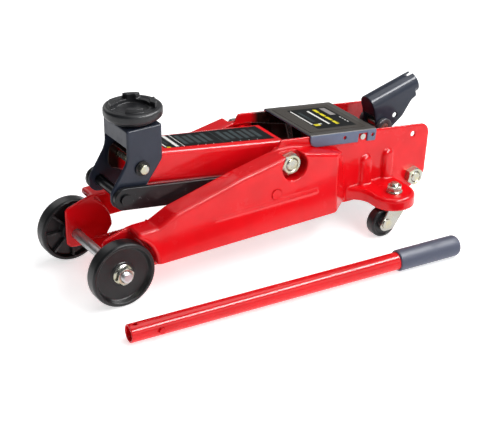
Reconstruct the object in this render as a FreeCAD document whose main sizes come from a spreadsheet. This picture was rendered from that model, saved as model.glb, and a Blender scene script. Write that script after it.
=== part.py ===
"""Two tonne trolley jack: pressed side plates, lift arm with levelling rods, saddle, pump and ram,
front wheels, rear casters, and its handle lying beside it. Millimetres, +Z up, the saddle end at -X,
the left side at -Y."""

import FreeCAD, Part

import math
import os

import Sketcher

doc = FreeCAD.newDocument("trolley_jack")
sizes = doc.addObject("Spreadsheet::Sheet", "sizes")

SIZES = """
wheel_radius        35     front wheel
wheel_width         16
wheel_stand         14.5   middle of a front wheel outside the side plate
wheel_dish          5.2    depth of its outer dish
wheel_lip           3.4    radial width of its rim lip
axle_height         35
axle_radius         5.5
axle_reach          14.8   end of the front axle past the middle of its wheel
run_fit             0.05   radial clearance of a turning fit
side_fit            0.2    gap between faces that turn past each other
spacer_wall         3
arch_gap            4      side plate to front wheel
nut_across          17     axle nut over its flats
nut_height          7.5
nut_flange          11     radius of its flange
nut_flange_thick    2.2
plate_inside        40.7   inner face of a side plate's band from the centre plane
plate_wall          3
plate_front         12     front edge, ahead of the axle
plate_rear          406.5  rear edge
plate_foot          20     lowest edge at the front
plate_rear_foot     26
plate_nose          66     height of the front edge
shelf_low           76     the ledge's height over the wheel
shelf_knee          61
shelf_knee_height   86.5
shelf_bend          140
shelf_bend_height   106.5
shelf_rear          196
shelf_rear_height   117
peak                202    the plate's highest point
peak_height         127
rear_height         101    the top line's height at the rear edge
bulge_outside       65     outer face of the outer wall
bulge_front         18
bulge_foot          35     lower edge of the outer wall
bulge_rear          262
bulge_rear_height   101.5
bulge_bend          4      bend radius along the ledge
bulge_slope         26     length of the sloping return at the rear
rib_land            1      how far a rib starts inside its sheet
ear_land            0.5    how far an ear does
recess_radius       16     pressed recess about the arm pivot
recess_floor        50     outer face of its floor
bead_height         68     pressed crease in the outer wall
bead_proud          1.6
bead_half           2      half height of the crease
bead_front          106
bead_rear           236
rib_front           315.5  gusset ribs above the ear
rib_rear            346
rib_width           15
rib_proud           5
rib_top             83
tie_hole            3      radius of the small rear hole
tie_hole_x          382.6
tie_hole_z          92.6
ear_middle          330    caster swivel axis
ear_half            25     half width of the ear
ear_end             101    outermost point of the ear
ear_top             49
ear_foot            35
tray_front          12
tray_rear           84
tray_foot           21
tray_lip            9
pivot_x             206    arm pivot
pivot_z             104
pivot_radius        7
pivot_across        21     bolt head over its flats
pivot_head          9
pivot_head_crown    0.8
sleeve_wall         1.5
sleeve_end_fit      0.1
arm_length          163    arm pivot to bracket pin
arm_rise            8.1    rise of the arm at rest, degrees
arm_wall            3.5
arm_crown           15     top face above the line of its pins
arm_keel            22     lower edge below that line
arm_front_half      22
arm_rear_half       26.8
arm_nose            16     reach ahead of the bracket pin
arm_tail            10     reach behind the pivot
arm_bend            6
lift_up             50     degrees the arm swings above its place at rest
lift_down           18     degrees below it
ram_lever           45     arm pivot to ram pin
ram_lever_lean      16     degrees behind straight down
ram_pin_radius      5
hook_lever          40     arm pivot to spring hook
hook_lever_lean     34
hook_radius         3
lobe                10.5   metal round the ram pin
rod_back            23.5   rod pins behind the arm pins, towards the front
rod_drop            26.5   rod pins below the arm pins
rod_inside          28     inner face of a link rod
rod_thick           5
rod_round           12
rod_pin_radius      5.5
open_fit            0.3    clearance of the rod's front hole
stud_radius         9
stud_gap            0.4    link rod to stud shoulder
stud_proud          0.6    stud past the outer wall
rod_edge            0.8    rounding of a link rod's edges
rod_pin_past        2.5    rod pin past the link rods
bracket_half        26
bracket_wall        3
bracket_front       29
bracket_rear        69
bracket_top         170
bracket_roof        4
bracket_apron       151    lower edge of its front wall
bracket_pin_radius  5
bracket_pin_end     32.5
bracket_washer      8
bracket_washer_thick 2
saddle_middle       50
saddle_radius       30.5
saddle_rim          185.5
saddle_rim_high     9.5    height of its rounded rim
saddle_cup          180.5  floor of the cup
saddle_lug_top      190
saddle_turned       -24    degrees the saddle stands turned at rest
saddle_stem         9
saddle_gap          0.1    saddle over the bracket's roof
clip_thick          2      ring under the roof that holds the stem
clip_wall           3
lug_outer_inset     6.5    lugs behind the saddle's edge
lug_inner_inset     12.5
lug_sill            4      foot of the gaps above the cup's floor
lug_gap_half        9      half width of the gaps between the saddle's lugs
lug_gap_reach       35     half length of the cuts that make them
cover_front         238.7  top cover
cover_length        90
cover_sheet         2
cover_side          12     depth of its side flanges
cover_fit           0.1
cover_screw         309
screw_head          3.4
screw_head_thick    2.4
screw_drop          15     cover screw below the cover's front corner
cover_bend          2.4
sticker_half        37
sticker_thick       0.3
arm_sticker_thick   0.4
ram_height          62.5   height of the ram's axis
ram_radius          9
piston_radius       12
barrel_wall         4      wall of the ram cylinder
shell_radius        27     oil reservoir
shell_wall          2
gland_front         244.5
gland_thick         4
gland_plug          6
filler_place        22     filler plug behind the gland
filler_radius       4
filler_head         6
filler_head_thick   3.5
piston_place        46     piston behind the gland
piston_long         10
block_front         316
block_rear          398
block_foot          30
block_top           60
block_bolt_x        384
block_bolt_z        42
block_bolt          6
block_bolt_across   19
block_bolt_head     7.5
block_bolt_crown    0.7
block_bolt_reach    12
valve_seat          4      bore of the two valve screws
valve_seat_half     22     their distance from the centre plane
valve_seat_deep     4
valve_cap           6
valve_cap_thick     3
yoke_half           20
yoke_long           11     half length of the ram yoke
yoke_slack          1.2    slot clearance to the ram pin
yoke_half_height    15.5
socket_x            362    handle socket pivot
socket_z            96
socket_pin          5
socket_rise         15.1   rise of the socket at rest, degrees
socket_lift         25.3   socket axis above its pivot
socket_front        6      socket's front end ahead of its pivot
socket_mouth        60     mouth behind its pivot
socket_wall         2.3
handle_fit          0.4    radial play of the handle in the socket
pump_lever          15     socket pivot to pump roller
pump_lever_lean     9
pump_lean_gap       0.3    roller to plunger
roller_radius       6
roller_pin          2.5
plunger_radius      5
plunger_head        8
plunger_head_thick  3
tower_rear          340
tower_half          14
pump_ear_gap        0.6
pump_ear_thick      5
pump_ear_half       10
valve_height        45
valve_radius        5
valve_collar        3      collar past the spindle's radius
valve_bar           1.6    radius of its cross bar
valve_bar_half      9
caster_radius       17
caster_width        12
caster_trail        16
caster_axle         4
caster_middle       79.5   swivel axis from the centre plane
fork_inside         7.3
fork_wall           2.5
crown_radius        18
crown_thick         3.5
crown_top           44
stud_thread         5
stud_head           1.8    caster stud's head past its shank
stud_head_thick     2.6
stud_past_ear       11
caster_nut_across   15
caster_nut_height   8
caster_flange       1.6    nut flange past the hexagon
caster_flange_thick 1.8
fork_tip            8.5    fork past the wheel's axle
axle_head           1.8    caster axle's head past its shank
axle_head_thick     1.2
hub_past            0.6    wheel hub past the tread's side
handle_radius       9.5
handle_wall         1.8
handle_length       386
handle_x            -30    open end of the handle
handle_y            -127
handle_turn         -4.9   degrees from the jack's length
grip_radius         11.5
grip_length         78
button_radius       3
button_place        31
button_proud        2.6
button_seat         2      button's foot inside the tube's wall
button_foot         1.2
lock_hole_radius    2.4    small hole ahead of the button
lock_hole_place     7
spring_radius       3.4
spring_wire         0.7
spring_plane        33.5   return springs from the centre plane
spring_turns        26
spring_hook_gap     0.6
spring_end_gap      0.5
plunger_coil_gap    1.4    plunger to the middle of its spring's wire
plunger_coil_end    0.9
plunger_turns       3
"""

AXES = {
    "x": (FreeCAD.Vector(0, 1, 0), 90),
    "y": (FreeCAD.Vector(1, 0, 0), -90),
    "-y": (FreeCAD.Vector(1, 0, 0), 90),
    "z": (FreeCAD.Vector(0, 0, 1), 0),
}

for row, line in enumerate(SIZES.strip().splitlines(), 1):
    alias, value, *note = line.split(maxsplit=2)
    sizes.set(f"A{row}", alias)
    sizes.set(f"B{row}", value)
    sizes.set(f"C{row}", " ".join(note))
    sizes.setAlias(f"B{row}", alias)
doc.recompute()

ALIASES = {line.split()[0] for line in SIZES.strip().splitlines()}
pieces = {}


# ---------------------------------------------------------------- drawing helpers

def full(text):
    """The expression with each of the sheet's aliases written out in full."""
    words = []
    word = ""
    for letter in str(text) + " ":
        if letter.isalnum() or letter in "_.":
            word += letter
            continue
        known = word in ALIASES
        words.append(f"sizes.{word}" if known else word)
        words.append(letter)
        word = ""
    return "".join(words).strip()


def number(text):
    """The value of an expression in the sheet's aliases."""
    return float(sizes.evalExpression(full(text)))


def bind(thing, prop, text):
    thing.setExpression(prop, full(text))


def place(thing, x="0", y="0", z="0", axis=None, turn="0"):
    """Put a body or primitive at a point, turned about an axis by an angle in degrees."""
    if axis is not None:
        thing.Placement = FreeCAD.Placement(FreeCAD.Vector(), FreeCAD.Rotation(axis, number(turn)))
        bind(thing, "Placement.Rotation.Angle", f"({turn}) * 1 deg")
    for letter, text in zip("xyz", (x, y, z)):
        bind(thing, f"Placement.Base.{letter}", text)
    return thing


def keep(thing, label):
    """Register a finished sub-part under the name of its node."""
    thing.Label = label
    pieces[label] = thing
    return thing


def rod(name, radius, length, at, along):
    """Solid cylinder from a point, along one of the axes."""
    thing = doc.addObject("Part::Cylinder", name)
    axis, turn = AXES[along]
    thing.Placement = FreeCAD.Placement(FreeCAD.Vector(), FreeCAD.Rotation(axis, turn))
    bind(thing, "Radius", radius)
    bind(thing, "Height", length)
    return place(thing, *at)


def hexagon(name, across, length, at, along):
    """Solid hexagonal prism, sized over its flats."""
    thing = doc.addObject("Part::Prism", name)
    axis, turn = AXES[along]
    thing.Polygon = 6
    thing.Placement = FreeCAD.Placement(FreeCAD.Vector(), FreeCAD.Rotation(axis, turn))
    bind(thing, "Circumradius", f"({across}) / 2 / cos(30)")
    bind(thing, "Height", length)
    return place(thing, *at)


def box(name, low, high):
    """Solid block between two corners, each given as three texts."""
    thing = doc.addObject("Part::Box", name)
    for prop, a, b in zip(("Length", "Width", "Height"), low, high):
        bind(thing, prop, f"({b}) - ({a})")
    return place(thing, *low)


def fuse(name, *things):
    thing = doc.addObject("Part::MultiFuse", name)
    thing.Shapes = list(things)
    thing.Refine = True
    return thing


def cut(name, base, *tools):
    thing = doc.addObject("Part::Cut", name)
    thing.Base = base
    thing.Tool = tools[0] if len(tools) == 1 else fuse(f"{name}_tool", *tools)
    thing.Refine = True
    return thing


def common(name, first, second):
    thing = doc.addObject("Part::Common", name)
    thing.Base = first
    thing.Tool = second
    return thing


def mirror(name, thing):
    """The same piece on the right side."""
    other = doc.addObject("Part::Mirroring", name)
    other.Source = thing
    other.Normal = FreeCAD.Vector(0, 1, 0)
    return other


def both(name, thing):
    """A left piece and its right twin as two solids of one node."""
    pair = doc.addObject("Part::Compound", name)
    pair.Links = [thing, mirror(f"{name}_twin", thing)]
    return pair


def group(name, *things):
    made = doc.addObject("Part::Compound", name)
    made.Links = list(things)
    return made


def body(name):
    return doc.addObject("PartDesign::Body", name)


def sketch(owner, plane, lift="0"):
    """A sketch on one of the body's own origin planes, lifted along the plane's normal."""
    drawn = owner.newObject("Sketcher::SketchObject", f"{owner.Name}_sketch")
    face = next(o for o in owner.Origin.OriginFeatures if o.Role == f"{plane}_Plane")
    drawn.AttachmentSupport = [(face, "")]
    drawn.MapMode = "FlatFace"
    bind(drawn, "AttachmentOffset.Base.z", lift)
    return drawn


def outline(drawn, corners):
    """Closed outline through corners, each (across, up, rounding) as texts; sharp without a rounding."""
    corners = [(*corner, "0")[:3] for corner in corners]
    places = [FreeCAD.Vector(number(a), number(u), 0) for a, u, r in corners]
    radii = [number(r) for a, u, r in corners]
    count = len(corners)
    entries, exits, centres, lefts = [], [], [], []
    for i, point in enumerate(places):
        back = (places[i - 1] - point).normalize()
        ahead = (places[(i + 1) % count] - point).normalize()
        half = back.getAngle(ahead) / 2
        reach = radii[i] / math.tan(half)
        entries.append(point + back * reach)
        exits.append(point + ahead * reach)
        inward = (back + ahead).normalize() if radii[i] else FreeCAD.Vector()
        centres.append(point + inward * (radii[i] / math.sin(half)))
        lefts.append(ahead.cross(back).z > 0)
    for i in range(count):
        drawn.addGeometry(Part.LineSegment(exits[i], entries[(i + 1) % count]), False)
    rules, texts = [], {}

    def rule(text, *values):
        if text is not None:
            texts[len(rules)] = text
        rules.append(Sketcher.Constraint(*values))

    for i, (across, up, radius) in enumerate(corners):
        before = (i - 1) % count
        if not radii[i]:
            rule(None, "Coincident", before, 2, i, 1)
            rule(across, "DistanceX", -1, 1, i, 1, places[i].x)
            rule(up, "DistanceY", -1, 1, i, 1, places[i].y)
            continue
        first, last = (entries[i], exits[i]) if lefts[i] else (exits[i], entries[i])
        spans = [math.atan2(p.y - centres[i].y, p.x - centres[i].x) for p in (first, last)]
        circle = Part.Circle(centres[i], FreeCAD.Vector(0, 0, 1), radii[i])
        arc = drawn.addGeometry(Part.ArcOfCircle(circle, *spans), False)
        point = drawn.addGeometry(Part.Point(places[i]), True)
        rule(None, "Tangent", before, 2, arc, 1 if lefts[i] else 2)
        rule(None, "Tangent", arc, 2 if lefts[i] else 1, i, 1)
        rule(radius, "Radius", arc, radii[i])
        rule(None, "PointOnObject", point, 1, before)
        rule(None, "PointOnObject", point, 1, i)
        rule(across, "DistanceX", -1, 1, point, 1, places[i].x)
        rule(up, "DistanceY", -1, 1, point, 1, places[i].y)
    drawn.addConstraint(rules)
    for index, text in texts.items():
        bind(drawn, f"Constraints[{index}]", text)
    return drawn


def circle(drawn, across, up, radius):
    """A circle held by its centre and radius."""
    centre = FreeCAD.Vector(number(across), number(up), 0)
    ring = drawn.addGeometry(Part.Circle(centre, FreeCAD.Vector(0, 0, 1), number(radius)), False)
    held = (("DistanceX", across, (-1, 1, ring, 3)), ("DistanceY", up, (-1, 1, ring, 3)),
            ("Radius", radius, (ring,)))
    for kind, text, values in held:
        index = drawn.addConstraint(Sketcher.Constraint(kind, *values, number(text)))
        bind(drawn, f"Constraints[{index}]", text)
    return drawn


def pad(owner, drawn, length, both_ways=False, reverse=False):
    made = owner.newObject("PartDesign::Pad", f"{owner.Name}_pad")
    made.Profile = drawn
    bind(made, "Length", length)
    made.Midplane = both_ways
    made.Reversed = reverse
    return made


def pocket(owner, drawn, length=None, both_ways=False, reverse=False):
    """Cut a sketch out of the body; without a length it goes through everything."""
    made = owner.newObject("PartDesign::Pocket", f"{owner.Name}_pocket")
    made.Profile = drawn
    if length is None:
        made.Type = "ThroughAll"
    else:
        bind(made, "Length", length)
    made.Midplane = both_ways
    made.Reversed = reverse
    return made


def round_edges(owner, feature, chosen, radius):
    """Fillet the edges of a feature that a test picks."""
    doc.recompute()
    names = [f"Edge{i}" for i, edge in enumerate(feature.Shape.Edges, 1) if chosen(edge)]
    made = owner.newObject("PartDesign::Fillet", f"{owner.Name}_fillet")
    made.Base = (feature, names)
    bind(made, "Radius", radius)
    return made


def turned(name, corners):
    """Solid of revolution about the body's X axis, from corners (along the axis, radius, rounding)."""
    owner = body(name)
    drawn = outline(sketch(owner, "XY"), corners)
    made = owner.newObject("PartDesign::Revolution", f"{name}_turn")
    made.Profile = drawn
    made.ReferenceAxis = (drawn, ["H_Axis"])
    made.Angle = 360
    return owner


def facing(thing, x, y, z, side):
    """Point a turned piece's axis outward on the left (-1) or right (+1) side."""
    return place(thing, x, y, z, FreeCAD.Vector(0, 0, 1), f"{90 * side}")


def level(edge, axis, value):
    """Whether every point of an edge has this coordinate."""
    return all(abs(getattr(point, axis) - value) < 0.01 for point in edge.discretize(3))


# ---------------------------------------------------------------- places that several pieces share

ARM_PIN = ("(pivot_x - arm_length * cos(arm_rise))", "(pivot_z + arm_length * sin(arm_rise))")
ROD_REAR = ("(pivot_x - rod_back)", "(pivot_z - rod_drop)")
ROD_FRONT = (f"({ARM_PIN[0]} - rod_back)", f"({ARM_PIN[1]} - rod_drop)")
RAM_PIN = ("(pivot_x + ram_lever * sin(ram_lever_lean))", "(pivot_z - ram_lever * cos(ram_lever_lean))")
HOOK = ("(pivot_x + hook_lever * sin(hook_lever_lean))", "(pivot_z - hook_lever * cos(hook_lever_lean))")
ROLLER = ("(socket_x - pump_lever * sin(pump_lever_lean))", "(socket_z - pump_lever * cos(pump_lever_lean))")
BAND = "(plate_inside + plate_wall)"
WHEEL_MIDDLE = f"({BAND} + wheel_stand)"
AXLE_END = f"({WHEEL_MIDDLE} + axle_reach)"
TOP_SLOPE = "((peak_height - rear_height) / (plate_rear - peak))"
COVER_Z = f"(peak_height - (cover_front - peak) * {TOP_SLOPE})"
UP = FreeCAD.Vector(0, 0, 1)
ACROSS = FreeCAD.Vector(0, 1, 0)
THROUGH = "80"          # long enough for any cross hole
PAST = "1"              # how far a cutting tool stands past the face it enters


# ---------------------------------------------------------------- side plates

def shelf(inset="0"):
    """Corners of the ledge line, from the rear to the front, lowered by an inset."""
    return [("shelf_rear", f"shelf_rear_height - {inset}", "12"),
            ("shelf_bend", f"shelf_bend_height - {inset}", "60"),
            ("shelf_knee", f"shelf_knee_height - {inset}", "25"),
            ("shelf_knee - 21", f"shelf_low - {inset}", "12")]


def bulge(name, inset, low, high, foot):
    """Block of the pressed-out middle of a plate, between two distances from the centre plane."""
    owner = body(name)
    corners = [(f"bulge_front + {inset}", foot), (f"bulge_rear + bulge_slope - {inset}", foot),
               (f"bulge_rear + bulge_slope - 12 - {inset}", f"bulge_rear_height - {inset}", "9"),
               ("shelf_rear + 18", f"shelf_rear_height - {inset}", "20"), *shelf(inset),
               (f"bulge_front + {inset}", f"shelf_low - {inset}", "3")]
    pad(owner, outline(sketch(owner, "XZ", low), corners), f"{high} - ({low})")
    arch = circle(sketch(owner, "XZ", low), "0", "axle_height", f"wheel_radius + arch_gap + {inset}")
    pocket(owner, arch, f"{high} - ({low}) + 1", reverse=True)
    slope = [(f"bulge_rear - {inset}", f"-({high} + 1)"), ("bulge_rear + bulge_slope + 2", f"-({high} + 1)"),
             ("bulge_rear + bulge_slope + 2", f"-{BAND}"), (f"bulge_rear + bulge_slope - {inset}", f"-{BAND}"),
             (f"bulge_rear - {inset}", f"-({high})")]
    last = pocket(owner, outline(sketch(owner, "XY"), slope), both_ways=True)
    return owner, last


def plate_band():
    """The flat sheet that carries the axle in front, the cover on top and the pump block behind."""
    owner = body("band")
    corners = [("-plate_front", "plate_foot", "9"), ("bulge_front + 14", "plate_foot", "8"),
               ("bulge_front + 24", "bulge_foot", "4"), ("bulge_rear", "bulge_foot", "6"),
               ("bulge_rear + bulge_slope", "plate_rear_foot + 5", "8"),
               ("block_bolt_x - 2", "plate_rear_foot", "8"), ("plate_rear - 4", "plate_rear_foot + 12", "12"),
               ("plate_rear", "rear_height", "13"), ("peak", "peak_height", "3"),
               ("shelf_rear + 1", "shelf_rear_height + 1", "4"), *shelf()[1:],
               ("bulge_front", "shelf_low", "25"), ("-plate_front", "plate_nose", "6")]
    pad(owner, outline(sketch(owner, "XZ", "plate_inside"), corners), "plate_wall")
    return owner


def ear(name, inset, foot, top):
    """Block of the caster ear, a tongue with a round end, seen from above."""
    owner = body(name)
    corners = [(f"ear_middle - ear_half - 16 + {inset}", "-(plate_inside + ear_land)"),
               (f"ear_middle - ear_half + {inset}", f"-({BAND} + 16)", "18"),
               (f"ear_middle - ear_half + {inset}", f"-(ear_end - {inset})", f"ear_half - {inset} - 0.1"),
               (f"ear_middle + ear_half - {inset}", f"-(ear_end - {inset})", f"ear_half - {inset} - 0.1"),
               (f"ear_middle + ear_half - {inset}", "-(plate_inside + ear_land)")]
    made = pad(owner, outline(sketch(owner, "XY", foot), corners), f"{top} - ({foot})")
    return owner, made


def rib(name, x):
    """A pressed stiffening rib above the ear."""
    owner = body(name)
    corners = [(f"{x} - rib_width / 2", "ear_top - 4"), (f"{x} + rib_width / 2", "ear_top - 4"),
               (f"{x} + rib_width / 2", "rib_top", "rib_width / 2 - 0.2"),
               (f"{x} - rib_width / 2", "rib_top", "rib_width / 2 - 0.2")]
    drawn = outline(sketch(owner, "XZ", "plate_inside + rib_land"), corners)
    made = pad(owner, drawn, "plate_wall + rib_proud - rib_land")
    outer = number(f"-({BAND} + rib_proud)")
    round_edges(owner, made, lambda e: level(e, "y", outer) and not level(e, "z", number("ear_top - 4")),
                "rib_proud - 0.6")
    return owner


def side_plates():
    wide = "bulge_outside - plate_wall"
    outer, solid = bulge("bulge", "0", "plate_inside", "bulge_outside", "bulge_foot")
    face = -number("bulge_outside")
    foot = number("bulge_foot")
    round_edges(outer, solid, lambda e: level(e, "y", face) and not level(e, "z", foot), "bulge_bend")
    hollow, _ = bulge("bulge_hollow", "plate_wall", "plate_inside - 1", wide, "bulge_foot - 2")
    ear_block, top = ear("ear", "0", "ear_foot", "ear_top")
    rim = number("ear_top")
    root = -number("plate_inside + ear_land")
    round_edges(ear_block, top, lambda e: level(e, "z", rim) and not level(e, "y", root), "4")
    ear_hollow, _ = ear("ear_hollow", "plate_wall", "ear_foot - 2", "ear_top - plate_wall")
    beyond = box("ear_beyond", ("ear_middle - 2 * ear_half", f"-{BAND}", "ear_foot - 5"),
                 ("ear_middle + 2 * ear_half", "0", "ear_top"))
    pivot = ("pivot_x", "0", "pivot_z")
    cup_body = rod("recess_body", "recess_radius + plate_wall", THROUGH, pivot, "-y")
    cup_inside = rod("recess_inside", f"recess_radius + plate_wall + {PAST}", "recess_floor - plate_wall",
                     pivot, "-y")
    cup = common("recess_cup", outer, cut("recess_ring", cup_body, cup_inside))
    pressed = fuse("pressed", cut("pressed_shell", fuse("pressed_solid", plate_band(), outer), hollow), cup,
                   cut("ear_shell", ear_block, cut("ear_inside", ear_hollow, beyond)),
                   rib("rib_1", "rib_front"), rib("rib_2", "rib_rear"))
    bead = box("bead", ("bead_front", "-(bulge_outside + bead_proud)", "bead_height - bead_half"),
               ("bead_rear", "-(bulge_outside - 1)", "bead_height + bead_half"))
    bead_body = doc.addObject("Part::Chamfer", "bead_sharp")
    bead_body.Base = bead
    doc.recompute()
    bead_face = number("-(bulge_outside + bead_proud)")
    bevel = number("bead_proud") - 0.1
    sharp = [i for i, edge in enumerate(bead.Shape.Edges, 1) if level(edge, "y", bead_face)]
    bead_body.Edges = [(i, bevel, bevel) for i in sharp]
    holes = [rod("recess_hole", "recess_radius", THROUGH, ("pivot_x", "-recess_floor", "pivot_z"), "-y"),
             rod("pivot_hole", "pivot_radius", THROUGH, pivot, "-y"),
             rod("axle_hole", "axle_radius", THROUGH, ("0", "0", "axle_height"), "-y"),
             rod("tie_hole_cut", "tie_hole", THROUGH, ("tie_hole_x", "0", "tie_hole_z"), "-y"),
             rod("rod_stud_hole", "rod_pin_radius", THROUGH, (ROD_REAR[0], "0", ROD_REAR[1]), "-y"),
             rod("block_bolt_hole", "block_bolt", THROUGH, ("block_bolt_x", "0", "block_bolt_z"), "-y"),
             rod("screw_hole", "screw_head / 2", THROUGH,
                 ("cover_screw", "0", f"{COVER_Z} - screw_drop"), "-y"),
             rod("caster_hole", "stud_thread", "20", ("ear_middle", "-caster_middle", "ear_foot + 3"), "z")]
    left = keep(cut("left_plate", fuse("pressed_beaded", pressed, bead_body), *holes), "side_plate_left")
    keep(mirror("right_plate", left), "side_plate_right")


# ---------------------------------------------------------------- front axle and wheels

def front_tray():
    floor = box("tray_floor", ("tray_front", "-plate_inside", "tray_foot"),
                ("tray_rear", "plate_inside", "tray_foot + plate_wall"))
    lip = box("tray_back", ("tray_rear - plate_wall", "-plate_inside", "tray_foot"),
              ("tray_rear", "plate_inside", "tray_foot + tray_lip"))
    keep(fuse("tray", floor, lip), "front_tray")


def front_axle():
    keep(rod("axle", "axle_radius", f"2 * {AXLE_END}", ("0", f"-{AXLE_END}", "axle_height"), "y"), "front_axle")
    hub = f"{WHEEL_MIDDLE} - wheel_width / 2 - side_fit"
    spacer = cut("spacer", rod("spacer_body", "axle_radius + spacer_wall", f"{hub} - {BAND}",
                               ("0", f"-{BAND}", "axle_height"), "-y"),
                 rod("spacer_bore", "axle_radius", THROUGH, ("0", "0", "axle_height"), "-y"))
    keep(both("spacers", spacer), "axle_spacers")
    at = ("0", f"-({WHEEL_MIDDLE} + wheel_width / 2 - wheel_dish + side_fit)", "axle_height")
    nut = cut("nut", fuse("nut_body", rod("nut_flange_disc", "nut_flange", "nut_flange_thick", at, "-y"),
                          hexagon("nut_hex", "nut_across", "nut_height", at, "-y")),
              rod("nut_bore", "axle_radius", THROUGH, ("0", "0", "axle_height"), "-y"))
    keep(both("nuts", nut), "axle_nuts")


def front_wheels():
    """Moulded wheels, dished outside, with a hub that turns on the axle."""
    half = "wheel_width / 2"
    bore = "axle_radius + run_fit"
    inner_lip = "wheel_radius - wheel_lip"
    floor = f"{half} - wheel_dish"
    back = f"{floor} - 5"
    corners = [(f"-{half}", bore), (floor, bore), (floor, f"{inner_lip} - 3", "2"), (half, inner_lip, "0.8"),
               (half, "wheel_radius", "1.6"), (f"-{half}", "wheel_radius", "1.6"),
               (f"-{half}", inner_lip, "0.8"), (back, f"{inner_lip} - 2", "2"),
               (back, "axle_radius + 7", "2"), (f"-{half}", "axle_radius + 6")]
    for side, name in ((-1, "left"), (1, "right")):
        wheel = facing(turned(f"wheel_{name}", corners), "0", f"{side} * {WHEEL_MIDDLE}", "axle_height", side)
        keep(wheel, f"front_wheel_{name}")


# ---------------------------------------------------------------- lift arm, rods, bracket and saddle

def arm_local(lever, lean):
    """A point at a lever's length and lean, in the arm's own unturned frame."""
    return f"{lever} * sin({lean} + arm_rise)", f"-{lever} * cos({lean} + arm_rise)"


def arm_half(along, inset="0"):
    """Half width of the tapering arm at a distance behind its pivot."""
    return f"(arm_rear_half - (arm_rear_half - arm_front_half) * ({along}) / -arm_length - {inset})"


def lift_arm():
    owner = body("arm")
    front = "-(arm_length + arm_nose)"
    pin = arm_local("ram_lever", "ram_lever_lean")
    hook = arm_local("hook_lever", "hook_lever_lean")
    side = [("arm_tail", "arm_crown", "3"), (front, "arm_crown", "12"), (front, "-arm_nose", "14"),
            ("-arm_length + 12", "-arm_keel", "12"), ("-40", "-arm_keel", "20"),
            (f"{pin[0]} - lobe", f"{pin[1]} - lobe", "lobe - 1"),
            (f"{pin[0]} + lobe", f"{pin[1]} - lobe", "lobe - 1"),
            (f"{hook[0]} + 7", f"{hook[1]} - 2", "6"), ("arm_tail + 2", "-4", "8")]
    pad(owner, outline(sketch(owner, "XZ"), side), THROUGH, both_ways=True)
    flare = [("arm_tail + 60", "-60"), ("arm_tail + 60", f"-{arm_half('0')}"), ("0", f"-{arm_half('0')}"),
             (f"{front} - 2", f"-{arm_half(f'{front} - 2')}"), (f"{front} - 2", "-60")]
    pocket(owner, outline(sketch(owner, "XY"), flare), both_ways=True)
    flare = [(a, f"-({u})") for a, u in flare][::-1]
    tapered = pocket(owner, outline(sketch(owner, "XY"), flare), both_ways=True)
    doc.recompute()
    crown = number("arm_crown")
    round_edges(owner, tapered, lambda e: level(e, "z", crown) and e.Length > 100, "arm_bend")
    open_front = f"{front} - 4"
    open_rear = "60"
    narrow = arm_half(open_front, "arm_wall")
    wide = arm_half("0", "arm_wall")
    inside = [(open_front, f"-{narrow}"), ("0", f"-{wide}"), (open_rear, f"-{wide}"), (open_rear, wide),
              ("0", wide), (open_front, narrow)]
    pocket(owner, outline(sketch(owner, "XY", "arm_crown - arm_wall"), inside))
    bores = ((("0", "0"), "pivot_radius + run_fit"), (("-arm_length", "0"), "bracket_pin_radius + run_fit"),
             (pin, "ram_pin_radius"), (hook, "hook_radius"))
    for at, radius in bores:
        pocket(owner, circle(sketch(owner, "XZ"), *at, radius), both_ways=True)
    keep(place(owner, "pivot_x", "0", "pivot_z", ACROSS, "arm_rise"), "lift_arm")


def arm_fittings():
    reach = f"{arm_half('0')} + 0.2"
    at = (RAM_PIN[0], f"-({reach})", RAM_PIN[1])
    keep(rod("ram_pin_rod", "ram_pin_radius", f"2 * ({reach})", at, "y"), "ram_pin")
    hook = rod("hook_rod", "hook_radius", "spring_plane + 4 - arm_rear_half + arm_wall",
               (HOOK[0], "-(arm_rear_half - arm_wall)", HOOK[1]), "-y")
    keep(both("hooks", hook), "spring_hooks")
    label = body("label")
    wide = "arm_front_half - arm_bend"
    rear, front = "arm_tail - 3.5", "30.5 - arm_length"
    corners = [(rear, f"-({wide} + 3)", "1"), (rear, f"{wide} + 3", "1"), (front, wide, "1"),
               (front, f"-({wide})", "1")]
    pad(label, outline(sketch(label, "XY", "arm_crown"), corners), "arm_sticker_thick")
    keep(place(label, "pivot_x", "0", "pivot_z", ACROSS, "arm_rise"), "arm_label")


def arm_pivot():
    seat = "recess_floor"
    at = ("pivot_x", f"-{seat}", "pivot_z")
    keep(fuse("pivot_bolt", rod("pivot_shaft", "pivot_radius", f"2 * {seat} + pivot_head + 3", at, "y"),
              hexagon("pivot_head_hex", "pivot_across", "pivot_head", at, "-y"),
              rod("pivot_crown", "pivot_across / 2 - 2", "pivot_head + pivot_head_crown", at, "-y")),
         "arm_pivot_bolt")
    far = ("pivot_x", seat, "pivot_z")
    keep(cut("pivot_nut_cut", hexagon("pivot_nut_hex", "pivot_across", "pivot_head", far, "y"),
             rod("pivot_nut_bore", "pivot_radius", "pivot_head + 1", far, "y")), "arm_pivot_nut")
    sleeve_end = f"{seat} - plate_wall - sleeve_end_fit"
    start = f"{arm_half('0')} + 2 * side_fit"
    sleeve = cut("sleeve", rod("sleeve_body", "pivot_radius + sleeve_wall", f"{sleeve_end} - ({start})",
                               ("pivot_x", f"-({start})", "pivot_z"), "-y"),
                 rod("sleeve_bore", "pivot_radius", THROUGH, ("pivot_x", "0", "pivot_z"), "-y"))
    keep(both("sleeves", sleeve), "arm_pivot_sleeves")


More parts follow.
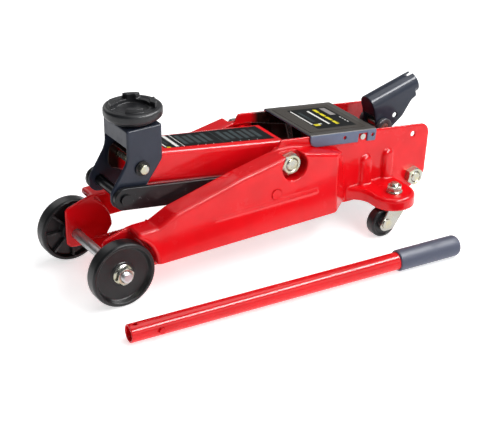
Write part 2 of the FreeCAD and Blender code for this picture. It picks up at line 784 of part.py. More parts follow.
def link_rods():
    owner = body("link")
    ends = [("-arm_length - rod_round", "rod_round", "rod_round - 0.1"),
            ("-arm_length - rod_round", "-rod_round", "rod_round - 0.1"),
            ("rod_round", "-rod_round", "rod_round - 0.1"), ("rod_round", "rod_round", "rod_round - 0.1")]
    bar = pad(owner, outline(sketch(owner, "XZ", "rod_inside"), ends), "rod_thick")
    faces = (number("-rod_inside"), number("-(rod_inside + rod_thick)"))
    round_edges(owner, bar, lambda e: any(level(e, "y", face) for face in faces), "rod_edge")
    pocket(owner, circle(sketch(owner, "XZ"), "0", "0", "rod_pin_radius + run_fit"), both_ways=True)
    pocket(owner, circle(sketch(owner, "XZ"), "-arm_length", "0", "rod_pin_radius + open_fit"), both_ways=True)
    keep(place(owner, ROD_REAR[0], "0", ROD_REAR[1], ACROSS, "arm_rise"), "link_rod_left")
    keep(mirror("link_right", owner), "link_rod_right")
    wall = "bulge_outside - plate_wall"
    pin_at = (ROD_REAR[0], "-(rod_inside - stud_gap)", ROD_REAR[1])
    shoulder_at = (ROD_REAR[0], "-(rod_inside + rod_thick + stud_gap)", ROD_REAR[1])
    pin_long = "bulge_outside + stud_proud - rod_inside + stud_gap"
    shoulder_long = f"{wall} - rod_inside - rod_thick - stud_gap"
    stud = fuse("stud", rod("stud_pin", "rod_pin_radius", pin_long, pin_at, "-y"),
                rod("stud_body", "stud_radius", shoulder_long, shoulder_at, "-y"))
    keep(both("studs", stud), "rod_studs")


def saddle_bracket():
    owner = body("bracket")
    lobe_front, lobe_foot = f"{ROD_FRONT[0]} - rod_round - 0.5", f"{ROD_FRONT[1]} - rod_round - 0.5"
    side = [("bracket_rear", "bracket_top", "1"), ("bracket_front", "bracket_top", "2"),
            ("bracket_front", f"{ARM_PIN[1]} + 11", "25"), (lobe_front, f"{ROD_FRONT[1]} + 5.5", "10"),
            (lobe_front, lobe_foot, "rod_round"), (f"{ROD_FRONT[0]} + 15.5", lobe_foot, "9"),
            ("bracket_rear", f"{ARM_PIN[1]} + 5", "10")]
    solid = pad(owner, outline(sketch(owner, "XZ"), side), "2 * bracket_half", both_ways=True)
    top = number("bracket_top")
    fold = number("bracket_half")
    round_edges(owner, solid, lambda e: level(e, "z", top) and (level(e, "y", fold) or level(e, "y", -fold)),
                "2.5")
    below = f"{lobe_foot} - 5"
    wall, roof = "bracket_front + bracket_wall", "bracket_top - bracket_roof"
    channel = [(wall, below), ("bracket_rear + 9", below), ("bracket_rear + 9", roof), (wall, roof)]
    window = [(f"{lobe_front} - 5", below), (f"{wall} + {PAST}", below), (f"{wall} + {PAST}", "bracket_apron"),
              (f"{lobe_front} - 5", "bracket_apron")]
    for corners in (channel, window):
        pocket(owner, outline(sketch(owner, "XZ"), corners), "2 * (bracket_half - bracket_wall)", both_ways=True)
    for at, radius in ((ARM_PIN, "bracket_pin_radius"), (ROD_FRONT, "rod_pin_radius")):
        pocket(owner, circle(sketch(owner, "XZ"), *at, radius), both_ways=True)
    drawn = circle(sketch(owner, "XY", f"bracket_top + {PAST}"), "saddle_middle", "0", "saddle_stem + run_fit")
    pocket(owner, drawn, f"bracket_roof + 2 * {PAST}")
    keep(owner, "saddle_bracket")
    at = (ARM_PIN[0], "-bracket_pin_end", ARM_PIN[1])
    keep(rod("pin_rod", "bracket_pin_radius", "2 * bracket_pin_end", at, "y"), "bracket_pin")
    at = (ARM_PIN[0], "-bracket_half", ARM_PIN[1])
    washer = cut("washer", rod("washer_disc", "bracket_washer", "bracket_washer_thick", at, "-y"),
                 rod("washer_bore", "bracket_pin_radius", THROUGH, (ARM_PIN[0], "0", ARM_PIN[1]), "-y"))
    keep(both("washers", washer), "bracket_washers")
    end = "(rod_inside + rod_thick + rod_pin_past)"
    at = (ROD_FRONT[0], f"-{end}", ROD_FRONT[1])
    keep(rod("rod_pin_bar", "rod_pin_radius", f"2 * {end}", at, "y"), "rod_pin")


def saddle():
    """Cast cup with a grooved rim and four raised lugs, turning on a stem in the bracket's roof."""
    base = "bracket_top"
    corners = [(f"{base} - bracket_roof - 5", "0"), ("saddle_cup", "0"), ("saddle_cup", "saddle_radius - 8", "2"),
               ("saddle_rim", "saddle_radius - lug_outer_inset", "1"), ("saddle_rim", "saddle_radius", "3.5"),
               ("saddle_rim - saddle_rim_high", "saddle_radius", "4.5"),
               (f"{base} + saddle_gap", "saddle_radius - 8"), (f"{base} + saddle_gap", "saddle_stem"),
               (f"{base} - bracket_roof - 5", "saddle_stem")]
    cup = turned("saddle_cup_body", corners)
    place(cup, "saddle_middle", "0", "0", ACROSS, "-90")
    outer, inner = "saddle_radius - lug_outer_inset", "saddle_radius - lug_inner_inset"
    ring = cut("lug_ring", rod("lug_outer", outer, "saddle_lug_top - saddle_cup + 1",
                               ("saddle_middle", "0", "saddle_cup - 1"), "z"),
               rod("lug_inner", inner, THROUGH, ("saddle_middle", "0", "saddle_cup"), "z"))
    gaps = []
    for turn in (45, 135):
        gap = box(f"lug_gap_{turn}", ("0", "0", "saddle_cup + lug_sill"),
                  ("2 * lug_gap_reach", "2 * lug_gap_half", f"saddle_lug_top + {PAST}"))
        lean = f"({turn} + saddle_turned)"
        corner = (f"saddle_middle - lug_gap_reach * cos{lean} + lug_gap_half * sin{lean}",
                  f"-lug_gap_reach * sin{lean} - lug_gap_half * cos{lean}", "saddle_cup + lug_sill")
        gaps.append(place(gap, *corner, UP, lean))
    keep(fuse("saddle_cast", cup, cut("lugs", ring, *gaps)), "saddle")
    low = "bracket_top - bracket_roof"
    at = ("saddle_middle", "0", f"{low} - clip_thick - side_fit")
    keep(cut("saddle_ring", rod("ring_disc", "saddle_stem + clip_wall", "clip_thick", at, "z"),
             rod("ring_bore", "saddle_stem", f"clip_thick + {PAST}", at, "z")), "saddle_clip")


# ---------------------------------------------------------------- cover

def top_cover():
    """Folded sheet over the pump, resting on the plates' top edges."""
    fall = "atan((peak_height - rear_height) / (plate_rear - peak))"
    owner = body("cover")
    wide = f"({BAND} + cover_fit)"
    out = f"({wide} + cover_sheet)"
    fold = [(f"-{out}", "-cover_side"), (f"-{wide}", "-cover_side"), (f"-{wide}", "0"), (wide, "0"),
            (wide, "-cover_side"), (out, "-cover_side"), (out, "cover_sheet", "cover_bend"),
            (f"-{out}", "cover_sheet", "cover_bend")]
    pad(owner, outline(sketch(owner, "YZ"), fold), "cover_length")
    ahead, behind = "cover_screw - cover_front - 4.5", "cover_screw - cover_front + 8"
    notch = [(ahead, "-cover_side - 1"), (behind, "-cover_side - 1"), (behind, "-2"), (ahead, "-2")]
    pocket(owner, outline(sketch(owner, "XZ"), notch), "120", both_ways=True)
    for along in ("0.52 * cover_length", "cover_length - 4.5"):
        pocket(owner, circle(sketch(owner, "XZ"), along, "-5", "2"), "120", both_ways=True)
    corner = [("-2", "-cover_side - 1"), ("12", "-cover_side - 1"), ("3", "-cover_side + 2", "8"), ("-2", "-1")]
    pocket(owner, outline(sketch(owner, "XZ"), corner), "120", both_ways=True)
    keep(place(owner, "cover_front", "0", COVER_Z, ACROSS, fall), "top_cover")
    label = body("cover_sticker")
    edge = [("5", "-sticker_half", "1"), ("cover_length - 9", "-sticker_half", "1"),
            ("cover_length - 9", "sticker_half", "1"), ("5", "sticker_half", "1")]
    pad(label, outline(sketch(label, "XY", "cover_sheet"), edge), "sticker_thick")
    keep(place(label, "cover_front", "0", COVER_Z, ACROSS, fall), "cover_label")
    at = ("cover_screw", f"-{BAND}", f"{COVER_Z} - screw_drop")
    screw = fuse("screw", rod("screw_head_disc", "screw_head", "screw_head_thick", at, "-y"),
                 rod("screw_shank", "screw_head / 2", "plate_wall + 4", at, "y"))
    keep(both("screws", screw), "cover_screws")


# ---------------------------------------------------------------- hydraulics

def pump_block():
    wide = "plate_inside"
    base = box("block_base", ("block_front", f"-{wide}", "block_foot"), ("block_rear", wide, "block_top"))
    collar = rod("block_collar", "shell_radius + 1", "tower_rear - block_front - 8",
                 ("block_front", "0", "ram_height"), "x")
    tower = box("block_tower", ("block_front", "-tower_half", "block_top - 5"),
                ("tower_rear", "tower_half", f"{ROLLER[1]} + plunger_head + 3"))
    ears = []
    inner = "(handle_radius + handle_fit + socket_wall + pump_ear_gap)"
    for side, name in ((-1, "left"), (1, "right")):
        outer = f"({inner} + pump_ear_thick)"
        low, high = (f"-{outer}", f"-{inner}") if side < 0 else (inner, outer)
        slab = box(f"ear_slab_{name}", ("socket_x - pump_ear_half", low, "block_top - 5"),
                   ("socket_x + pump_ear_half", high, "socket_z"))
        crown = rod(f"ear_crown_{name}", "pump_ear_half", "pump_ear_thick", ("socket_x", low, "socket_z"), "y")
        ears += [slab, crown]
    solid = fuse("block_solid", base, collar, tower, *ears)
    holes = [rod("barrel_seat", "piston_radius + run_fit", "4", ("block_front - 1", "0", "ram_height"), "x"),
             rod("plunger_bore", "plunger_radius + run_fit", "100", ("block_front + 2", "0", ROLLER[1]), "x"),
             rod("socket_pin_bore", "socket_pin", THROUGH, ("socket_x", "-40", "socket_z"), "y"),
             rod("valve_bore", "valve_radius + run_fit", "14", ("block_rear - 12", "0", "valve_height"), "x"),
             rod("bolt_bore_left", "block_bolt", "block_bolt_reach + 2",
                 ("block_bolt_x", "-plate_inside - 1", "block_bolt_z"), "y"),
             rod("bolt_bore_right", "block_bolt", "block_bolt_reach + 2",
                 ("block_bolt_x", "plate_inside + 1", "block_bolt_z"), "-y")]
    seats = {"near": "-valve_seat_half", "far": "valve_seat_half"}
    for name, row in seats.items():
        holes.append(rod(f"valve_seat_{name}", "valve_seat", f"valve_seat_deep + {PAST}",
                         ("block_rear - valve_seat_deep", row, "valve_height + 3"), "x"))
    keep(cut("block", solid, *holes), "pump_block")
    at = ("block_bolt_x", f"-{BAND}", "block_bolt_z")
    bolt = fuse("bolt", hexagon("bolt_hex", "block_bolt_across", "block_bolt_head", at, "-y"),
                rod("bolt_crown", "block_bolt_across / 2 - 1", "block_bolt_head + block_bolt_crown",
                    at, "-y"),
                rod("bolt_shank", "block_bolt", "block_bolt_reach", at, "y"))
    keep(both("bolts", bolt), "block_bolts")
    caps = []
    for name, row in seats.items():
        head = rod(f"cap_head_{name}", "valve_cap", "valve_cap_thick",
                   ("block_rear", row, "valve_height + 3"), "x")
        shank = rod(f"cap_shank_{name}", "valve_seat", "valve_seat_deep",
                    ("block_rear - valve_seat_deep", row, "valve_height + 3"), "x")
        caps.append(fuse(f"cap_{name}", head, shank))
    keep(group("caps", *caps), "valve_caps")


def ram_parts():
    """Reservoir, cylinder and gland ahead of the pump block, and the ram that slides in them."""
    axis = ("0", "ram_height")
    long = "block_front - gland_front"
    filler = "gland_front + filler_place"
    before = ("gland_front - 5", *axis)
    shell = cut("shell", rod("shell_body", "shell_radius", f"{long} - gland_thick",
                             ("gland_front + gland_thick", *axis), "x"),
                rod("shell_bore", "shell_radius - shell_wall", f"{long} + 10", before, "x"),
                rod("filler_bore", "filler_radius", THROUGH, (filler, "0", "ram_height"), "z"))
    keep(shell, "reservoir_shell")
    barrel = cut("barrel", rod("barrel_body", "piston_radius + barrel_wall", f"{long} - gland_plug",
                               ("gland_front + gland_plug", *axis), "x"),
                 rod("barrel_bore", "piston_radius + run_fit", f"{long} + 20", before, "x"))
    keep(barrel, "ram_cylinder")
    at = ("gland_front", *axis)
    gland = cut("gland", fuse("gland_solid", rod("gland_cap", "shell_radius", "gland_thick", at, "x"),
                              rod("gland_plug_body", "piston_radius + barrel_wall", "gland_plug", at, "x")),
                rod("gland_bore", "ram_radius + run_fit", THROUGH, before, "x"))
    keep(gland, "gland_nut")
    top = "ram_height + shell_radius"
    plug = fuse("plug", rod("plug_shank", "filler_radius", "shell_wall + 2",
                            (filler, "0", f"{top} - shell_wall - 2"), "z"),
                rod("plug_head", "filler_head", "filler_head_thick", (filler, "0", top), "z"))
    keep(plug, "filler_plug")
    yoke = box("yoke_block", (f"{RAM_PIN[0]} - yoke_long", "-yoke_half", "ram_height - yoke_half_height"),
               (f"{RAM_PIN[0]} + yoke_long", "yoke_half", "ram_height + yoke_half_height"))
    gap = "(ram_pin_radius + yoke_slack)"
    highest = "pivot_z - ram_lever * cos(max(ram_lever_lean + lift_down; lift_up - ram_lever_lean))"
    slot = box("yoke_slot",
               (f"{RAM_PIN[0]} - {gap}", "-yoke_half - 1", "pivot_z - ram_lever - ram_pin_radius - 1"),
               (f"{RAM_PIN[0]} + {gap}", "yoke_half + 1", f"{highest} + ram_pin_radius + 1"))
    piston_at = "gland_front + piston_place"
    stem = rod("ram_stem", "ram_radius", f"{piston_at} - {RAM_PIN[0]} - yoke_long + 1",
               (f"{RAM_PIN[0]} + yoke_long - 1", *axis), "x")
    piston = rod("ram_piston", "piston_radius", "piston_long", (piston_at, *axis), "x")
    keep(fuse("ram_solid", cut("yoke", yoke, slot), stem, piston), "ram")


def pump_parts():
    head = f"({ROLLER[0]} - roller_radius - pump_lean_gap)"
    plunger = fuse("plunger", rod("plunger_rod", "plunger_radius", f"{head} - block_front - 7",
                                  ("block_front + 7", "0", ROLLER[1]), "x"),
                   rod("plunger_disc", "plunger_head", "plunger_head_thick",
                       (f"{head} - plunger_head_thick", "0", ROLLER[1]), "x"))
    keep(plunger, "pump_plunger")
    valve = fuse("valve", rod("valve_stem", "valve_radius", "24", ("block_rear - 10", "0", "valve_height"), "x"),
                 rod("valve_collar_disc", "valve_radius + valve_collar", "5",
                     ("block_rear + 2", "0", "valve_height"), "x"),
                 rod("valve_cross", "valve_bar", "2 * valve_bar_half",
                     ("block_rear + 11", "-valve_bar_half", "valve_height"), "y"))
    keep(valve, "release_valve")


def coil(name, radius, wire, long, turns):
    """Closed coil spring along its own Z axis, its wire a swept circle."""
    path = Part.makeHelix(long / turns, long, radius)
    start = FreeCAD.Vector(radius, 0, 0)
    section = Part.Wire(Part.makeCircle(wire, start, FreeCAD.Vector(0, 1, 0)))
    thing = doc.addObject("Part::Feature", name)
    thing.Shape = Part.Wire(path).makePipeShell([section], True, True)
    return thing


def springs():
    """Two return springs from the arm's hooks to the pump block, and the plunger's spring."""
    rear = FreeCAD.Vector(number("block_front"), 0, number("ram_height - 14"))
    front = FreeCAD.Vector(number(HOOK[0]), 0, number(HOOK[1]))
    along = (rear - front).normalize()
    gap = number("hook_radius + spring_hook_gap")
    long = front.distanceToPoint(rear) - gap - number("spring_end_gap")
    wire = number("spring_wire")
    pair = []
    for side, name in ((-1, "left"), (1, "right")):
        spring = coil(f"return_{name}", number("spring_radius") - wire, wire, long, number("spring_turns"))
        middle = FreeCAD.Vector(0, side * number("spring_plane"), 0)
        spring.Placement = FreeCAD.Placement(front + middle + along * gap, FreeCAD.Rotation(UP, along))
        pair.append(spring)
    keep(group("return_pair", *pair), "return_springs")
    low = number("tower_rear + plunger_coil_end")
    high = number(f"{ROLLER[0]} - roller_radius - pump_lean_gap - plunger_head_thick - plunger_coil_end")
    wide = number("plunger_radius + plunger_coil_gap")
    spring = coil("plunger_coil", wide, wire, high - low, number("plunger_turns"))
    start = FreeCAD.Vector(low, 0, number(ROLLER[1]))
    spring.Placement = FreeCAD.Placement(start, FreeCAD.Rotation(ACROSS, 90))
    keep(spring, "plunger_spring")


# ---------------------------------------------------------------- handle socket

def handle_socket():
    """Tube with two cheeks folded down from it, hung on the pump block's ears."""
    owner = body("socket")
    bore, outer = "handle_radius + handle_fit", "handle_radius + handle_fit + socket_wall"
    cheek = [("-8", "0", "6"), ("-9", "-9", "8"), ("9", "-10", "9"), ("30", "-2", "8"), ("46", "11", "6"),
             ("socket_mouth - 6", "13", "1"), ("socket_mouth - 6", "socket_lift"),
             ("-socket_front + 1", "socket_lift")]
    pad(owner, outline(sketch(owner, "XZ"), cheek), f"2 * ({outer})", both_ways=True)
    drum = sketch(owner, "YZ", "-socket_front")
    pad(owner, circle(drum, "0", "socket_lift", outer), "socket_front + socket_mouth")
    throat = f"socket_lift - ({bore}) - 1"
    inside = [("-20", "-30"), ("socket_mouth + 5", "-30"), ("socket_mouth + 5", throat), ("-20", throat)]
    pocket(owner, outline(sketch(owner, "XZ"), inside), f"2 * ({bore})", both_ways=True)
    bored = sketch(owner, "YZ", "socket_mouth + 1")
    pocket(owner, circle(bored, "0", "socket_lift", bore), "socket_mouth + socket_front - 1")
    notch = [("socket_mouth - 9", "-3.2", "3"), ("socket_mouth + 2", "-3.2"), ("socket_mouth + 2", "3.2"),
             ("socket_mouth - 9", "3.2", "3")]
    pocket(owner, outline(sketch(owner, "XY", "socket_lift + 20"), notch), "20")
    pocket(owner, circle(sketch(owner, "XZ"), "0", "0", "socket_pin + run_fit"), both_ways=True)
    pocket(owner, circle(sketch(owner, "XZ"), "20", "4", "3"), both_ways=True)
    lean = "(socket_rise + pump_lever_lean)"
    spot = (f"-pump_lever * sin{lean}", f"-pump_lever * cos{lean}")
    lobes = [(f"{spot[0]} - 6", f"{spot[1]} - 6", "5"), (f"{spot[0]} + 6", f"{spot[1]} - 6", "5"),
             ("8", "-6"), ("-8", "-6")]
    for low in (f"({bore})", f"-({outer})"):
        pad(owner, outline(sketch(owner, "XZ", low), lobes), "socket_wall")
    pocket(owner, circle(sketch(owner, "XZ"), *spot, "roller_pin"), both_ways=True)
    keep(place(owner, "socket_x", "0", "socket_z", ACROSS, "-socket_rise"), "handle_socket")
    ends = f"({outer} + pump_ear_gap + pump_ear_thick)"
    at = ("socket_x", f"-{ends}", "socket_z")
    keep(rod("socket_pin_bar", "socket_pin", f"2 * {ends}", at, "y"), "socket_pin")
    wide = f"({bore} - 2 * side_fit)"
    roller = rod("roller_disc", "roller_radius", f"2 * {wide}", (ROLLER[0], f"-{wide}", ROLLER[1]), "y")
    pin = rod("roller_pin_bar", "roller_pin", f"2 * ({outer})", (ROLLER[0], f"-({outer})", ROLLER[1]), "y")
    keep(fuse("roller", roller, pin), "pump_roller")


# ---------------------------------------------------------------- casters

def casters():
    x, y = "ear_middle", "caster_middle"
    fork = body("fork")
    leg = [("-13", "crown_top", "1"), ("-13", "crown_top - 8", "8"),
           ("-caster_trail - fork_tip", "caster_radius", "1"),
           ("-caster_trail - fork_tip", "caster_radius - fork_tip", "8"),
           ("-caster_trail + 9", "caster_radius - fork_tip", "8"), ("13", "crown_top - 9", "8"),
           ("13", "crown_top", "1")]
    pad(fork, outline(sketch(fork, "XZ"), leg), "2 * (fork_inside + fork_wall)", both_ways=True)
    drawn = circle(sketch(fork, "XY", "crown_top"), "0", "0", "crown_radius - 2")
    pad(fork, drawn, "crown_thick", reverse=True)
    roof = "crown_top - crown_thick"
    room = [("-60", "-9"), ("60", "-9"), ("60", roof), ("-60", roof)]
    pocket(fork, outline(sketch(fork, "XZ"), room), "2 * fork_inside", both_ways=True)
    pocket(fork, circle(sketch(fork, "XY"), "0", "0", "stud_thread + run_fit"), both_ways=True)
    pocket(fork, circle(sketch(fork, "XZ"), "-caster_trail", "caster_radius", "caster_axle"), both_ways=True)
    keep(place(fork, x, f"-{y}", "0"), "caster_fork_left")
    keep(mirror("fork_right", fork), "caster_fork_right")
    at = (x, f"-{y}")
    head = f"{roof} - side_fit"
    stud_head = rod("caster_stud_head", "stud_thread + stud_head", "stud_head_thick",
                    (*at, f"{head} - stud_head_thick"), "z")
    shank = rod("caster_stud_shank", "stud_thread", f"ear_top + stud_past_ear - ({head})", (*at, head), "z")
    keep(both("caster_stud_pair", fuse("caster_stud", stud_head, shank)), "caster_studs")
    seat = (*at, "ear_top")
    hexed = hexagon("caster_nut_hex", "caster_nut_across", "caster_nut_height", seat, "z")
    flange = rod("caster_nut_flange", "caster_nut_across / 2 + caster_flange", "caster_flange_thick", seat, "z")
    nut = cut("caster_nut", fuse("caster_nut_solid", hexed, flange),
              rod("caster_nut_bore", "stud_thread", "20", (*at, "ear_top - 5"), "z"))
    keep(both("caster_nut_pair", nut), "caster_nuts")
    low = "crown_top + side_fit"
    thick = f"ear_top - plate_wall - ({low})"
    washer = cut("thrust", rod("thrust_disc", "stud_thread + 5", thick, (*at, low), "z"),
                 rod("thrust_bore", "stud_thread", "20", (*at, "crown_top - 5"), "z"))
    keep(both("thrust_pair", washer), "caster_washers")
    across = f"{x} - caster_trail"
    half = "(fork_inside + fork_wall)"
    bar = rod("caster_axle_bar", "caster_axle", f"2 * {half} + 2 * axle_head_thick",
              (across, f"-{y} - {half} - axle_head_thick", "caster_radius"), "y")
    rim = rod("caster_axle_head", "caster_axle + axle_head", "axle_head_thick",
              (across, f"-{y} - {half}", "caster_radius"), "-y")
    axle = fuse("caster_axle_solid", bar, rim)
    keep(axle, "caster_axle_left")
    keep(mirror("caster_axle_mirror", axle), "caster_axle_right")
    wide, edge, bore = "caster_width / 2", "caster_radius", "caster_axle + run_fit"
    hub, web = f"{wide} + hub_past", f"{wide} - 1"
    corners = [(f"-({hub})", bore), (hub, bore), (hub, "caster_axle + 3"), (web, "caster_axle + 3.5"),
               (web, f"{edge} - 3.5"), (wide, f"{edge} - 2.5"), (wide, edge, "2"), (f"-{wide}", edge, "2"),
               (f"-{wide}", f"{edge} - 2.5"), (f"-({web})", f"{edge} - 3.5"),
               (f"-({web})", "caster_axle + 3.5"), (f"-({hub})", "caster_axle + 3")]
    for side, name in ((-1, "left"), (1, "right")):
        wheel = turned(f"caster_{name}", corners)
        keep(facing(wheel, f"{x} - caster_trail", f"{side} * {y}", "caster_radius", side), f"caster_wheel_{name}")


# ---------------------------------------------------------------- handle

def handle():
    """The jack's handle, pulled out of its socket and laid on the floor along the left side."""
    tilt = number("asin((grip_radius - handle_radius) / (handle_length - grip_length))")
    lie = FreeCAD.Rotation(UP, number("handle_turn")) * FreeCAD.Rotation(ACROSS, -tilt)
    mouth = FreeCAD.Vector(number("handle_x"), number("handle_y"), number("handle_radius + run_fit"))
    at = FreeCAD.Placement(mouth, lie)
    tube = cut("tube", rod("tube_body", "handle_radius", "handle_length - 3", ("0", "0", "0"), "x"),
               rod("tube_bore", "handle_radius - handle_wall", "handle_length + 9", ("-1", "0", "0"), "x"),
               rod("button_hole", "button_radius + 0.1", "30", ("button_place", "0", "0"), "-y"),
               rod("lock_hole", "lock_hole_radius", "30", ("lock_hole_place", "0", "0"), "z"))
    start, seat, end = "handle_length - grip_length", "handle_length - 3", "handle_length"
    grip = turned("grip", [(start, "handle_radius"), (seat, "handle_radius"), (seat, "0"), (end, "0"),
                           (end, "grip_radius", "6"), (start, "grip_radius", "1.5")])
    seat = "handle_wall + button_seat - handle_radius"
    button = fuse("button", rod("button_top", "button_radius", "button_proud + handle_wall + button_seat",
                                ("button_place", seat, "0"), "-y"),
                  rod("button_rim", "button_radius + button_foot", "button_foot",
                      ("button_place", f"{seat} + 0.8", "0"), "-y"))
    for thing, label in ((tube, "handle_tube"), (grip, "handle_grip"), (button, "handle_button")):
        thing.Placement = at
        keep(thing, label)


# ---------------------------------------------------------------- build, check, write

side_plates()
front_tray()
front_axle()
front_wheels()
lift_arm()
arm_fittings()
arm_pivot()
link_rods()
saddle_bracket()
saddle()
top_cover()
pump_block()
ram_parts()
pump_parts()
springs()
handle_socket()
casters()
handle()
doc.recompute()

for thing in doc.Objects:
    if "Invalid" in thing.State or "Error" in thing.State:
        raise SystemExit(f"{thing.Label} did not build: {thing.State}")
for label, piece in pieces.items():
    if piece.Shape.isNull() or not piece.Shape.isValid() or not piece.Shape.Solids:
        raise SystemExit(f"{label} has no valid solid")

whole = FreeCAD.BoundBox()
for piece in pieces.values():
    whole.add(piece.Shape.optimalBoundingBox(False))
shift = FreeCAD.Vector(-whole.Center.x, -whole.Center.y, -whole.ZMin)
for piece in pieces.values():
    piece.Placement = FreeCAD.Placement(shift, FreeCAD.Rotation()) * piece.Placement

os.makedirs("parts", exist_ok=True)
for label, piece in pieces.items():
    piece.Shape.exportStep(f"parts/{label}.step")
print(f"{len(pieces)} sub-parts, frame shift {shift.x:.3f} {shift.y:.3f} {shift.z:.3f}, "
      f"box {whole.XLength:.1f} x {whole.YLength:.1f} x {whole.ZLength:.1f}")
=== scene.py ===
"""The finished look of a two tonne trolley jack: pressed, cast, turned and plated pieces round its frame."""

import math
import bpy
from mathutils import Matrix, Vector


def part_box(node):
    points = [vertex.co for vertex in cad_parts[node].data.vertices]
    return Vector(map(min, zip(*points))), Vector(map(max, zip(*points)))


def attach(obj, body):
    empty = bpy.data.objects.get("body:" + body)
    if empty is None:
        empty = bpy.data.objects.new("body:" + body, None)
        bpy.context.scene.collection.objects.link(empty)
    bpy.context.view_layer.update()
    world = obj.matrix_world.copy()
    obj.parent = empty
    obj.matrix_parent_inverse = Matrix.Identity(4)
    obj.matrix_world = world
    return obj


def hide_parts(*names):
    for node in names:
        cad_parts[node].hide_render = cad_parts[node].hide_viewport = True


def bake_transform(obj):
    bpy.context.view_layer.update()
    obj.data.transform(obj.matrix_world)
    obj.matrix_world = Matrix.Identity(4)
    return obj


bl_info = {
    "name": "Trolley Jack",
    "version": (1, 0, 0),
    "blender": (4, 5, 0),
    "location": "3D View > Sidebar > Jack",
    "description": "Builds the painted, cast and plated pieces of a trolley jack round its frame",
    "category": "Add Mesh",
}

import bmesh
import bpy
from mathutils import Matrix, Vector

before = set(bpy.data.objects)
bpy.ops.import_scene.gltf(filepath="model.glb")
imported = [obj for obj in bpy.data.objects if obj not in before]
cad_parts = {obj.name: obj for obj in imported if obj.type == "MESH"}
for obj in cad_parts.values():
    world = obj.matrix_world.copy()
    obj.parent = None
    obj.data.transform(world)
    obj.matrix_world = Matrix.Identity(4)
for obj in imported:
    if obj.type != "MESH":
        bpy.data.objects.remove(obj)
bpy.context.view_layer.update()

MM = 0.001
TURN = 2 * math.pi
LEFT, RIGHT = -1, 1
SIDES = (("left", LEFT), ("right", RIGHT))
ACROSS = Vector((0, 1, 0))

# Facets round a thin pin, a pin, a shaft, a nut, the two kinds of wheel and the knurled spindle.
THIN_PIN, PIN, SHAFT, NUT, CASTER, WHEEL, KNURLED = 24, 48, 64, 96, 96, 128, 144
# Turns, in degrees, past which an edge stays sharp: the default, a nut's and a moulded wheel's.
SHARP, NUT_SHARP, WHEEL_SHARP = 40, 28, 50


def middle(node):
    """The middle of a CAD node's box."""
    low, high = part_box(node)
    return (low + high) / 2


# ---- what a user may change

def shade(red, green, blue):
    """A colour given in display steps from 0 to 255, as scene light."""
    return tuple(((step / 255 + 0.055) / 1.055) ** 2.4 if step > 10 else step / 255 / 12.92
                 for step in (red, green, blue))


def colour(name, description, value):
    return bpy.props.FloatVectorProperty(
        name=name, description=description, default=shade(*value), size=3, min=0, max=1, subtype="COLOR")


def length(name, description, value):
    return bpy.props.FloatProperty(
        name=name, description=description, default=value * MM, min=0, unit="LENGTH", precision=5)


class JackPaints(bpy.types.PropertyGroup):
    """Colours of the jack's paints, plating and plastics."""

    enamel: colour("Red Enamel", "Gloss paint of the plates, arm and handle", (230, 13, 24))
    enamel_deep: colour("Deep Enamel", "The same paint where it lies thickest", (216, 11, 20))
    satin: colour("Satin Black", "Paint of the bracket and socket", (42, 48, 63))
    rod_black: colour("Rod Black", "Paint of the link rods", (15, 16, 20))
    cast_black: colour("Black Oxide", "Finish of the cast saddle", (30, 31, 34))
    charcoal: colour("Charcoal", "Top of the cover sheet", (74, 70, 66))
    # Painted light: the cover is one sheet of one paint, and this lighter, bluer colour on its folded edges
    # stands for the light and reflection they catch.
    flange: colour("Slate", "Folded edges of the cover sheet", (98, 109, 134))
    zinc: colour("Zinc Plate", "Plating of the nuts, bolts and forks", (172, 173, 166))
    zinc_tint: colour("Zinc Tint", "Yellow cast of the plating", (196, 188, 140))
    steel: colour("Bare Steel", "Ground rods and pins", (160, 160, 163))
    casting: colour("Oiled Casting", "Pump block and gland", (92, 92, 95))
    nylon: colour("Black Nylon", "Wheels and casters", (26, 27, 29))
    vinyl: colour("Grey Vinyl", "Grip of the handle", (62, 68, 90))
    # Painted shade: this near-black brown darkens the insides of the side plates and the arm's nose inside
    # the bracket, where shadow falls.
    painted_shade: colour("Painted Shade", "Shade painted inside the side plates and on the arm's nose", (38, 20, 17))
    film: colour("Label Film", "Ground of the two labels", (16, 18, 20))
    print_white: colour("Print White", "Pale bars of the labels", (232, 232, 228))
    print_yellow: colour("Print Yellow", "Yellow bars of the labels", (226, 212, 40))
    print_grey: colour("Print Grey", "Grey bars of the labels", (64, 74, 76))
    print_pale: colour("Print Pale", "Pale grey block of the cover's label", (150, 146, 144))


class JackShape(bpy.types.PropertyGroup):
    """Sizes of the detail that is added to the frame's solids."""

    plate_voxel: length("Plate Detail", "Finest detail kept in the pressed plates", 1.0)
    sheet_voxel: length("Sheet Detail", "Finest detail kept in the arm, cover and block", 0.75)
    fine_voxel: length("Casting Detail", "Finest detail kept in the saddle, bracket and socket", 0.5)
    pitch: length("Thread Pitch", "Distance between two turns of the bolts' threads", 1.5)
    spring_wire: length("Spring Wire", "Radius of the return springs' wire", 0.75)
    weld: length("Weld Size", "Radius of the weld beads", 1.7)


# ---- shared shader groups

def new_group(name, inputs, outputs):
    """An empty node group with number sockets, what it is given and a function that puts out a value."""
    tree = bpy.data.node_groups.new(name, "ShaderNodeTree")
    for title, value in inputs:
        tree.interface.new_socket(title, in_out="INPUT", socket_type="NodeSocketFloat").default_value = value
    for title in outputs:
        tree.interface.new_socket(title, in_out="OUTPUT", socket_type="NodeSocketFloat")
    given, out = tree.nodes.new("NodeGroupInput"), tree.nodes.new("NodeGroupOutput")
    return tree, given.outputs, lambda title, value: tree.links.new(value, out.inputs[title])


def feed(tree, socket, value):
    """Link an input to a socket, or set it to a constant."""
    if isinstance(value, bpy.types.NodeSocket):
        tree.links.new(value, socket)
    else:
        socket.default_value = value


def math_node(tree, kind, first, second=None):
    """A Math node on one value or two, each a socket or a number."""
    node = tree.nodes.new("ShaderNodeMath")
    node.operation = kind
    feed(tree, node.inputs[0], first)
    if second is not None:
        feed(tree, node.inputs[1], second)
    return node.outputs[0]


